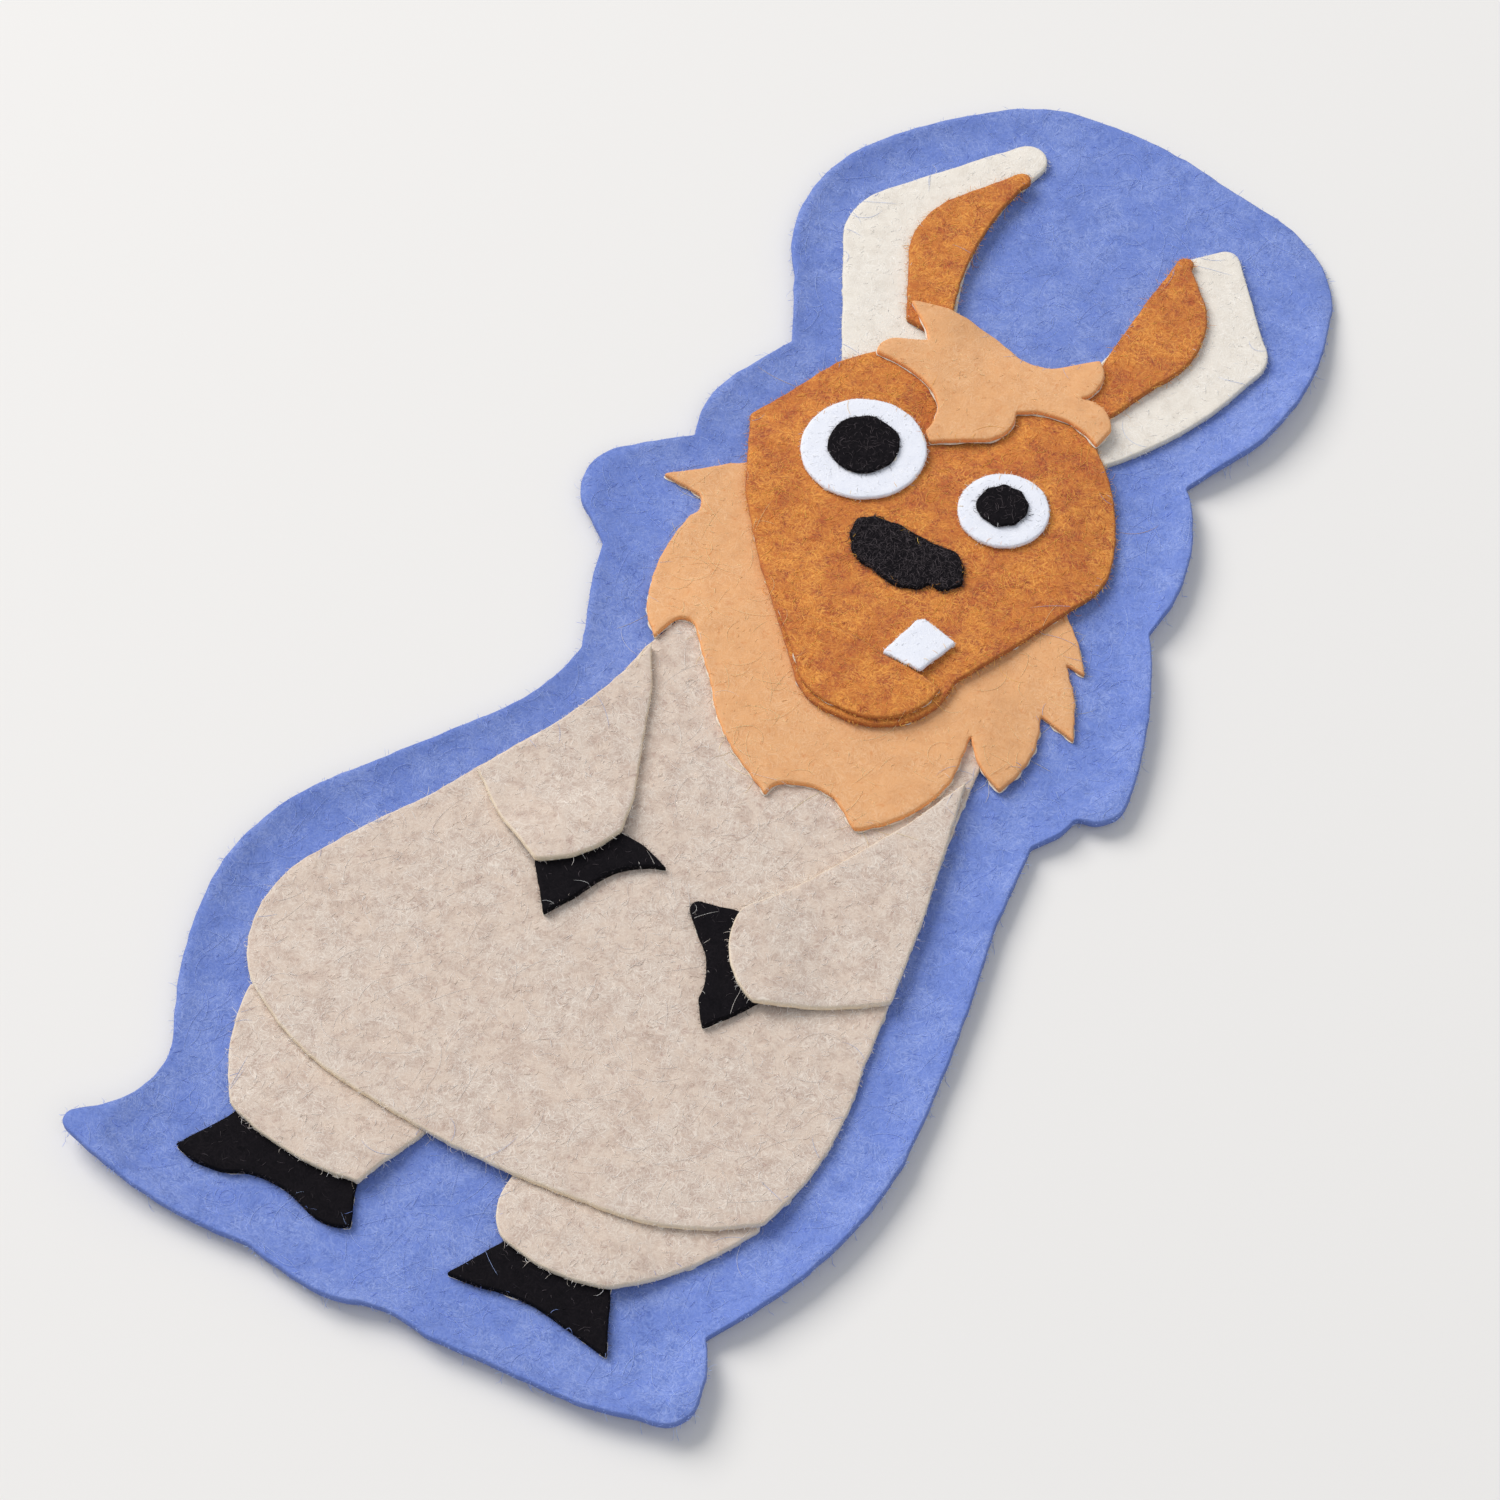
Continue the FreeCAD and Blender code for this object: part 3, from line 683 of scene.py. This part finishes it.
def curved_ways(roots, heading, length, rng, steps=HAIR_STEPS):
    """Short curved lines on the plane from their roots, as (hair, step, xyz) with z of 0."""
    share = np.linspace(0, 1, steps)
    bend = rng.normal(0, CURL, len(roots))
    angle = heading[:, None] + bend[:, None] * (share - 0.5)
    pace = (length / (steps - 1))[:, None]
    run = np.stack((np.cos(angle) * pace, np.sin(angle) * pace), axis=2)
    flat = roots[:, None, :] + np.cumsum(run, axis=1) - run[:, :1]
    return np.concatenate((flat, np.zeros(flat.shape[:2] + (1,))), axis=2)


def surface_ways(index, shape, rng):
    """Hairs that lie along a shape's top where nothing covers it."""
    rows, columns = np.nonzero(PILE.owner == index)
    density = FELTS[shape.slot].surface_hairs * FUZZ.get(shape.node, 1.0)
    count = int(len(rows) * CELL * CELL * density)
    pick = rng.integers(0, len(rows), count)
    roots = np.column_stack((columns[pick], rows[pick])) + rng.uniform(-0.5, 0.5, (count, 2))
    roots = PILE.top.corner + roots * CELL
    length = FELTS[shape.slot].hair_length * rng.uniform(*HAIR_LENGTHS, count)
    ways = curved_ways(roots, rng.uniform(0, 2 * math.pi, count), length, rng)
    arch = np.sin(np.linspace(0, 1, ways.shape[1]) * math.pi)
    lift = rng.gamma(*HAIR_ARCH, count)[:, None] * arch - SUNK
    ways[..., 2] = PILE.top.at(ways) + lift
    return ways


def edge_ways(index, shape, rng):
    """Hairs that stand out of a shape's cut edge where it shows."""
    felt = FELTS[shape.slot]
    line, normals = shape.line, outward(shape.line)
    inner = ((line - normals * 2 * CELL - PILE.top.corner) / CELL).round().astype(int)
    shows = np.nonzero(PILE.owner[inner[:, 1], inner[:, 0]] == index)[0]
    spacing = np.linalg.norm(np.roll(line, -1, 0) - line, axis=1).mean()
    count = int(len(shows) * spacing * felt.edge_hairs)
    pick = rng.choice(shows, count)
    roots = line[pick] - normals[pick] * EDGE_ROOT
    roots = roots + rng.uniform(-EDGE_SCATTER, EDGE_SCATTER, (count, 2))
    heading = np.arctan2(normals[pick, 1], normals[pick, 0]) + rng.normal(0, EDGE_SPREAD, count)
    length = felt.hair_length * rng.gamma(*EDGE_LENGTHS, count)
    ways = curved_ways(roots, heading, length, rng)
    low = shape.under.at(roots) + shape.film + EDGE_FOOT
    start = low + (shape.over.at(roots) - EDGE_HEAD - low) * rng.beta(1.6, 1.0, count)
    share = np.linspace(0, 1, ways.shape[1])
    rise = rng.normal(RISE_MEAN, RISE_SPREAD, count)[:, None] * length[:, None]
    wanted = start[:, None] + rise * share ** RISE_CURVE
    floor = PILE.top.at(ways) + SUPPORT_GAP
    held_up = np.maximum(wanted, np.minimum(floor, wanted + SUPPORT_LIMIT))
    ways[..., 2] = np.where(share > 0.3, held_up, wanted)  # the start is inside the felt
    return ways


def stray_ways(shape, rng):
    """Long fine fibres that lie loose on a shape and what is beside it, in wide curls."""
    index = PILE.shapes.index(shape)
    rows, columns = np.nonzero(PILE.owner == index)
    pick = rng.integers(0, len(rows), STRAYS[shape.node])
    roots = PILE.top.corner + np.column_stack((columns[pick], rows[pick])) * CELL
    heading = rng.uniform(0, 2 * math.pi, len(pick))
    length = rng.uniform(*STRAY_LENGTHS, len(pick))
    ways = curved_ways(roots, heading, length, rng, STRAY_STEPS)
    height = PILE.top.at(ways)
    ways[..., 2] = height + rng.uniform(*STRAY_HEIGHTS, len(pick))[:, None]
    on_felt = height.min(axis=1) > 0.5 * PILE.shapes[0].thickness  # none past the rim
    return ways[on_felt]


def grow_nap(context):
    """Give each shape the hairs of needled felt."""
    hair = context.scene.felt_sizes.hair / MM
    for index, shape in enumerate(PILE.shapes):
        rng = np.random.default_rng(zlib.crc32((shape.node + " nap").encode()))
        ways = np.concatenate((surface_ways(index, shape, rng), edge_ways(index, shape, rng)))
        radius = hair * rng.uniform(0.6, 1.35, len(ways))
        tone = rng.beta(1.3, 1.3, len(ways))
        grown = [tubes(shape.node + "_nap", ways, radius, tone)]
        if shape.node in STRAYS:
            ways = stray_ways(shape, rng)
            radius = np.full(len(ways), 0.9 * hair)
            tone = rng.uniform(0.6, 1.0, len(ways))  # the paler fibres
            grown.append(tubes(shape.node + "_strays", ways, radius, tone))
        for piece in grown:
            shape.add(piece, finish_of(shape.slot + "_hair", shape.slot, nap_material))


# ---- materials

class Value:
    """A number that a shader works out. An expression on values adds its Math nodes."""

    def __init__(self, graph, socket):
        self.graph = graph
        self.socket = socket

    def join(self, operation, *others, clamp=False):
        """A Math node on this number and others."""
        return self.graph.math(operation, self, *others, clamp=clamp)

    def __add__(self, other):
        return self.join("ADD", other)

    __radd__ = __add__

    def __mul__(self, other):
        return self.join("MULTIPLY", other)

    __rmul__ = __mul__

    def __sub__(self, other):
        return self.join("SUBTRACT", other)

    def __rsub__(self, other):
        return self.graph.math("SUBTRACT", other, self)

    def within(self):
        """This number held between 0 and 1."""
        return self.join("ADD", 0.0, clamp=True)


class Graph:
    """The nodes of one material."""

    STRAND_ANGLES = (12, 58, 101, 149)  # in degrees
    SEED_SHIFT = (17.3, 9.1, 5.7)  # moves each set of strands to another part of the noise

    def __init__(self, name):
        self.material = bpy.data.materials.new(name)
        self.material.use_nodes = True
        self.tree = self.material.node_tree
        self.shader = self.tree.nodes["Principled BSDF"]

    def node(self, kind, settings, inputs):
        """A node of a type, with its settings and then the values or links of its sockets."""
        node = self.tree.nodes.new(kind)
        for key, value in settings.items():
            setattr(node, key, value)
        for key, value in inputs.items():
            self.feed(node.inputs[key], value)
        return node

    def feed(self, socket, value):
        """Link a socket, or set it to a number or a colour."""
        value = value.socket if isinstance(value, Value) else value
        if isinstance(value, bpy.types.NodeSocket):
            self.tree.links.new(value, socket)
        elif socket.type == "RGBA" and len(value) == 3:
            socket.default_value = (*value, 1.0)
        else:
            socket.default_value = value

    def finish(self, values):
        """Set or link sockets of the shader by their names."""
        for key, value in values.items():
            self.feed(self.shader.inputs[key], value)
        return self.material

    def math(self, operation, *inputs, clamp=False):
        """A Math node on numbers."""
        node = self.node("ShaderNodeMath", {"operation": operation, "use_clamp": clamp},
                         dict(enumerate(inputs)))
        return Value(self, node.outputs[0])

    def vector(self, operation, *inputs):
        """A Vector Math node on vectors."""
        return self.node("ShaderNodeVectorMath", {"operation": operation},
                         dict(enumerate(inputs))).outputs[0]

    def scaled(self, vector, factor):
        """A vector times a number."""
        return self.node("ShaderNodeVectorMath", {"operation": "SCALE"},
                         {0: vector, "Scale": factor}).outputs[0]

    def mix(self, share, first, second):
        """One colour turning into another as the share goes from 0 to 1."""
        node = self.node("ShaderNodeMix", {"data_type": "RGBA"},
                         {"Factor": share, 6: first, 7: second})  # its colour sockets
        return node.outputs[2]

    def millimetres(self):
        """The place on the patch, in millimetres."""
        place = self.node("ShaderNodeTexCoord", {}, {}).outputs["Object"]
        return self.scaled(place, 1 / MM)

    def attribute(self, name):
        """The number that a mesh carries on its points."""
        node = self.node("ShaderNodeAttribute", {"attribute_name": name}, {})
        return Value(self, node.outputs["Fac"])

    def noise(self, place, scale, detail=2.0, roughness=0.5):
        """A node of soft random numbers and colours."""
        return self.node("ShaderNodeTexNoise", {}, {
            "Vector": place, "Scale": scale, "Detail": detail, "Roughness": roughness})

    def blotches(self, place, size, low, high):
        """Soft patches of a size in millimetres, 0 below one level of a noise and 1 above."""
        value = Value(self, self.noise(place, 1 / size).outputs["Fac"])
        return ((value - low) * (1 / (high - low))).within()

    def fibres(self, place, angle, length, width, low, high, seed):
        """Short strands along one direction, 1 on a strand and 0 between strands."""
        turned = self.node("ShaderNodeVectorRotate", {"rotation_type": "Z_AXIS"},
                           {"Vector": place, "Angle": math.radians(angle)}).outputs[0]
        drawn = self.vector("MULTIPLY", turned, (1 / length, 1 / width, 1 / width))
        moved = self.vector("ADD", drawn, tuple(seed * far for far in self.SEED_SHIFT))
        value = Value(self, self.noise(moved, 1.0, 1.0).outputs["Fac"])
        return ((value - low) * (1 / (high - low))).within()

    def tangle(self, place, length, width, low, high, seed):
        """Strands along several directions laid over each other."""
        strands = [self.fibres(place, angle, length, width, low, high, seed + k)
                   for k, angle in enumerate(self.STRAND_ANGLES)]
        total = strands[0]
        for strand in strands[1:]:
            total = total.join("MAXIMUM", strand)
        return total

    def warped(self, place, size, amount):
        """A place pushed about by a noise, so that strands run in curves."""
        push = self.vector("SUBTRACT", self.noise(place, 1 / size, 1.0).outputs["Color"],
                           (0.5,) * 3)
        return self.vector("ADD", place, self.scaled(push, amount))


def ground_colour(slot):
    """The main colour that the settings give a finish."""
    return tuple(getattr(bpy.context.scene.felt_colours, slot))


def finish_of(name, slot, make):
    """The finish of this name, made when it is first asked for."""
    return bpy.data.materials.get(name) or make(slot, Graph(name))


def felt_material(slot, graph):
    """Needled felt: a ground colour with patches, dark and light strands, painted shade between
    the tufts, and a cut edge whose colour is partly painted light.
    """
    felt, shares = FELTS[slot], FELTS[slot].shares
    place = graph.millimetres()
    curved = graph.warped(place, size=2.2, amount=1.8)
    broad = graph.warped(place, size=1.5, amount=2.0)
    narrow = graph.warped(place, size=0.8, amount=1.2)
    tint = graph.blotches(broad, size=4.5, low=0.42, high=0.58)
    blotch = graph.blotches(narrow, size=1.7, low=0.45, high=0.65)
    fleck = graph.blotches(curved, size=0.7, low=0.60, high=0.74)
    dark = graph.tangle(curved, length=1.5, width=0.16, low=0.55, high=0.71, seed=1)
    dark = dark * (blotch * 0.6 + 0.4)  # thicker where the felt is blotched
    light = graph.tangle(curved, length=1.9, width=0.14, low=0.55, high=0.71, seed=7)
    light = light * (tint * 0.5 + 0.5)
    wool = graph.noise(curved, scale=2.6, detail=3.0, roughness=0.6)
    wool = Value(graph, wool.outputs["Fac"])
    colour = graph.mix(tint * shares["tint"], ground_colour(slot), felt.tint)
    colour = graph.mix(blotch * shares["blotch"], colour, felt.blotch)
    colour = graph.mix(fleck * shares["fleck"], colour, felt.fleck)
    colour = graph.mix(dark * shares["dark"], colour, felt.dark)
    colour = graph.mix(light * shares["light"], colour, felt.light)
    shadow = (wool * 2.4 - 1.1).within()  # between the tufts
    colour = graph.mix(shadow * (shares["dark"] * 0.5), colour, felt.dark)
    # The cut edge's colour: partly the felt's own cut fibres, partly painted light (a painted
    # highlight on the oatmeal).
    colour = graph.mix(graph.attribute("edge") * 0.85, colour, felt.edge)
    height = light * 0.5 - dark * 0.35 + wool * 0.9
    bump = graph.node("ShaderNodeBump", {}, {
        "Strength": 0.35, "Distance": 0.00010, "Height": height}).outputs[0]
    sheen = 0.0 if slot == "felt_black" else 0.10  # black felt stays dark at a slant
    return graph.finish({"Base Color": colour, "Normal": bump, "Roughness": 0.95,
                         "Specular IOR Level": 0.08, "Sheen Weight": sheen,
                         "Sheen Roughness": 0.6})


# Painted light: hairs are coloured brighter than the mat of felt they stand on, standing in for
# the light they let through and for the shade on their thin tubes.
HAIR_GLEAM = 1.5
DARK_HAIRS = 8  # one hair in so many is dark


def nap_material(slot, graph):
    """Loose hairs: each has its own shade between the dark and the light strands."""
    felt = FELTS[slot]
    ground = ground_colour(slot)
    tone = graph.attribute("tone")
    # Painted light: the hairs' colours are lifted above their felt's by HAIR_GLEAM.
    bright = tuple(min(0.96, HAIR_GLEAM * c) for c in ground)
    brightest = tuple(min(0.98, HAIR_GLEAM * c) for c in felt.light)
    colour = graph.mix(tone, bright, brightest)
    colour = graph.mix((1 - tone * DARK_HAIRS).within() * 0.5, colour, felt.dark)
    return graph.finish({"Base Color": colour, "Roughness": 0.7, "Specular IOR Level": 0.25})


def film_material(slot, graph):
    """Dry bonding film: pale, a little glossy, thicker and yellower in places."""
    ground = ground_colour(slot)
    place = graph.millimetres()
    patches = graph.blotches(place, size=0.7, low=0.4, high=0.6)
    colour = graph.mix(patches * 0.5, ground, tuple(0.7 * c for c in ground))
    return graph.finish({"Base Color": colour, "Roughness": 0.5, "Specular IOR Level": 0.4})


# ---- operators

class PATCH_OT_backing(bpy.types.Operator):
    """Cut the blue sheet that everything is bonded to"""
    bl_idname = "felt_patch.backing"
    bl_label = "Backing"

    def execute(self, context):
        return lay(context, "backing")


class PATCH_OT_hind_hooves(bpy.types.Operator):
    """Cut the hooves that are tucked under the legs"""
    bl_idname = "felt_patch.hind_hooves"
    bl_label = "Hind hooves"

    def execute(self, context):
        return lay(context, "left_hind_hoof", "right_hind_hoof")


class PATCH_OT_legs(bpy.types.Operator):
    """Cut the legs that are tucked under the body"""
    bl_idname = "felt_patch.legs"
    bl_label = "Legs"

    def execute(self, context):
        return lay(context, "left_leg", "right_leg")


class PATCH_OT_body(bpy.types.Operator):
    """Cut the body, from the neck to the hem"""
    bl_idname = "felt_patch.body"
    bl_label = "Body"

    def execute(self, context):
        return lay(context, "body")


class PATCH_OT_ears(bpy.types.Operator):
    """Cut the ears"""
    bl_idname = "felt_patch.ears"
    bl_label = "Ears"

    def execute(self, context):
        return lay(context, "left_ear", "right_ear")


class PATCH_OT_ear_linings(bpy.types.Operator):
    """Cut the linings that lie on the ears"""
    bl_idname = "felt_patch.ear_linings"
    bl_label = "Ear linings"

    def execute(self, context):
        return lay(context, "left_ear_lining", "right_ear_lining")


class PATCH_OT_fore_hooves(bpy.types.Operator):
    """Cut the hooves that are tucked under the arms"""
    bl_idname = "felt_patch.fore_hooves"
    bl_label = "Fore hooves"

    def execute(self, context):
        return lay(context, "left_fore_hoof", "right_fore_hoof")


class PATCH_OT_arms(bpy.types.Operator):
    """Cut the arms that are folded over the body"""
    bl_idname = "felt_patch.arms"
    bl_label = "Arms"

    def execute(self, context):
        return lay(context, "left_arm", "right_arm")


class PATCH_OT_mane(bpy.types.Operator):
    """Cut the spiky ruff round the neck"""
    bl_idname = "felt_patch.mane"
    bl_label = "Mane"

    def execute(self, context):
        return lay(context, "mane")


class PATCH_OT_head(bpy.types.Operator):
    """Cut the head"""
    bl_idname = "felt_patch.head"
    bl_label = "Head"

    def execute(self, context):
        return lay(context, "head")


class PATCH_OT_jaw(bpy.types.Operator):
    """Cut the jaw, whose upper edge is the mouth"""
    bl_idname = "felt_patch.jaw"
    bl_label = "Jaw"

    def execute(self, context):
        return lay(context, "jaw")


class PATCH_OT_tooth(bpy.types.Operator):
    """Cut the tooth that stands on the jaw's edge"""
    bl_idname = "felt_patch.tooth"
    bl_label = "Tooth"

    def execute(self, context):
        return lay(context, "tooth")


class PATCH_OT_nose(bpy.types.Operator):
    """Cut the nose"""
    bl_idname = "felt_patch.nose"
    bl_label = "Nose"

    def execute(self, context):
        return lay(context, "nose")


class PATCH_OT_forelock(bpy.types.Operator):
    """Cut the forelock that lies over the feet of the ears"""
    bl_idname = "felt_patch.forelock"
    bl_label = "Forelock"

    def execute(self, context):
        return lay(context, "forelock")


class PATCH_OT_eyes(bpy.types.Operator):
    """Cut the whites of the eyes and the pupils on them"""
    bl_idname = "felt_patch.eyes"
    bl_label = "Eyes"

    def execute(self, context):
        return lay(context, "left_eye_white", "right_eye_white", "left_pupil", "right_pupil")


class PATCH_OT_nap(bpy.types.Operator):
    """Raise the loose hairs of every shape, once all of them are laid"""
    bl_idname = "felt_patch.nap"
    bl_label = "Nap"

    def execute(self, context):
        grow_nap(context)
        return {"FINISHED"}


# These small shapes are skipped by the sheets step; each is bonded to the shape named.
CARRIED = {"tooth": "head", "nose": "head", "left_pupil": "left_eye_white",
           "right_pupil": "right_eye_white"}


class PATCH_OT_sheets(bpy.types.Operator):
    """Read the outline of each felt shape, leaving out the small ones bonded to another; nothing
    is done with the outlines
    """
    bl_idname = "felt_patch.sheets"
    bl_label = "Declare sheets"

    def execute(self, context):
        shapes = {shape.node: shape for shape in PILE.shapes}
        for node, shape in shapes.items():
            if node in CARRIED:
                continue
            line = outline_of(node)
        return {"FINISHED"}


class PATCH_OT_stage(bpy.types.Operator):
    """Set up the floor, the soft light and the camera"""
    bl_idname = "felt_patch.stage"
    bl_label = "Stage"

    # Places, sizes and distances are in metres.
    FLOOR_COLOUR = (0.80, 0.79, 0.78)
    FLOOR_SIZE = 3.0
    CAMERA_PLACE = (0.11271, -0.21645, 0.34690)
    CAMERA_AIM = (0.001058, -0.010813, 0.0)
    CAMERA_ANGLE = math.radians(22)
    NEAREST = 0.01
    ROOM_COLOUR = (0.93, 0.96, 1.0, 1.0)
    ROOM_STRENGTH = 0.40
    LIGHTS = {
        "main_light": dict(side=Vector((-0.93, 0.22, 0.85)), distance=2.2, size=1.45,
                           power=47.5, colour=(1.0, 0.97, 0.93)),
        "fill_light": dict(side=Vector((0.7, -0.5, 1.1)), distance=2.0, size=1.6,
                           power=7.6, colour=(0.95, 0.97, 1.0)),
    }

    def execute(self, context):
        self.add_floor(context.scene)
        self.add_lights(context.scene)
        self.add_camera(context.scene)
        context.scene.view_settings.view_transform = "Standard"
        return {"FINISHED"}

    def add_floor(self, scene):
        half = self.FLOOR_SIZE / 2
        mesh = bpy.data.meshes.new("stage_floor")
        mesh.from_pydata([(-half, -half, 0), (half, -half, 0), (half, half, 0), (-half, half, 0)],
                         [], [(0, 1, 2, 3)])
        floor = bpy.data.objects.new("stage_floor", mesh)
        scene.collection.objects.link(floor)
        mesh.materials.append(Graph("floor").finish({
            "Base Color": self.FLOOR_COLOUR, "Roughness": 0.9, "Specular IOR Level": 0.1}))

    def add_lights(self, scene):
        for name, settings in self.LIGHTS.items():
            self.add_light(scene, name, **settings)
        world = bpy.data.worlds.new("room")
        world.use_nodes = True
        background = world.node_tree.nodes["Background"]
        background.inputs["Color"].default_value = self.ROOM_COLOUR
        background.inputs["Strength"].default_value = self.ROOM_STRENGTH
        scene.world = world

    def add_light(self, scene, name, side, distance, size, power, colour):
        light = bpy.data.lights.new(name, "AREA")
        light.size = size
        light.energy = power
        light.color = colour
        lamp = bpy.data.objects.new(name, light)
        lamp.location = side.normalized() * distance
        lamp.rotation_mode = "QUATERNION"
        lamp.rotation_quaternion = (-side).to_track_quat("-Z", "Y")
        scene.collection.objects.link(lamp)

    def add_camera(self, scene):
        data = bpy.data.cameras.new("camera")
        data.angle = self.CAMERA_ANGLE
        data.clip_start = self.NEAREST
        camera = bpy.data.objects.new("camera", data)
        camera.location = self.CAMERA_PLACE
        view = Vector(self.CAMERA_AIM) - Vector(self.CAMERA_PLACE)
        camera.rotation_mode = "QUATERNION"
        camera.rotation_quaternion = view.to_track_quat("-Z", "Y")
        scene.collection.objects.link(camera)
        scene.camera = camera


STEPS = (PATCH_OT_backing, PATCH_OT_hind_hooves, PATCH_OT_legs, PATCH_OT_body, PATCH_OT_ears,
         PATCH_OT_ear_linings, PATCH_OT_fore_hooves, PATCH_OT_arms, PATCH_OT_mane,
         PATCH_OT_head, PATCH_OT_jaw, PATCH_OT_tooth, PATCH_OT_nose, PATCH_OT_forelock,
         PATCH_OT_eyes, PATCH_OT_nap, PATCH_OT_sheets, PATCH_OT_stage)


class PATCH_PT_panel(bpy.types.Panel):
    """Lists the steps that make the patch"""
    bl_idname = "PATCH_PT_panel"
    bl_label = "Felt Patch"
    bl_space_type = "VIEW_3D"
    bl_region_type = "UI"
    bl_category = "Felt Patch"

    def draw(self, context):
        for settings in (context.scene.felt_sizes, context.scene.felt_colours):
            for name in settings.__annotations__:
                self.layout.prop(settings, name)
        for step in STEPS:
            self.layout.operator(step.bl_idname)


CLASSES = (FeltSizes, FeltColours, *STEPS, PATCH_PT_panel)


def register():
    for cls in CLASSES:
        bpy.utils.register_class(cls)
    bpy.types.Scene.felt_sizes = PointerProperty(type=FeltSizes)
    bpy.types.Scene.felt_colours = PointerProperty(type=FeltColours)


def unregister():
    del bpy.types.Scene.felt_colours
    del bpy.types.Scene.felt_sizes
    for cls in reversed(CLASSES):
        bpy.utils.unregister_class(cls)


def main():
    register()
    for step in STEPS:
        category, name = step.bl_idname.split(".")
        getattr(getattr(bpy.ops, category), name)()


if __name__ == "__main__":
    main()
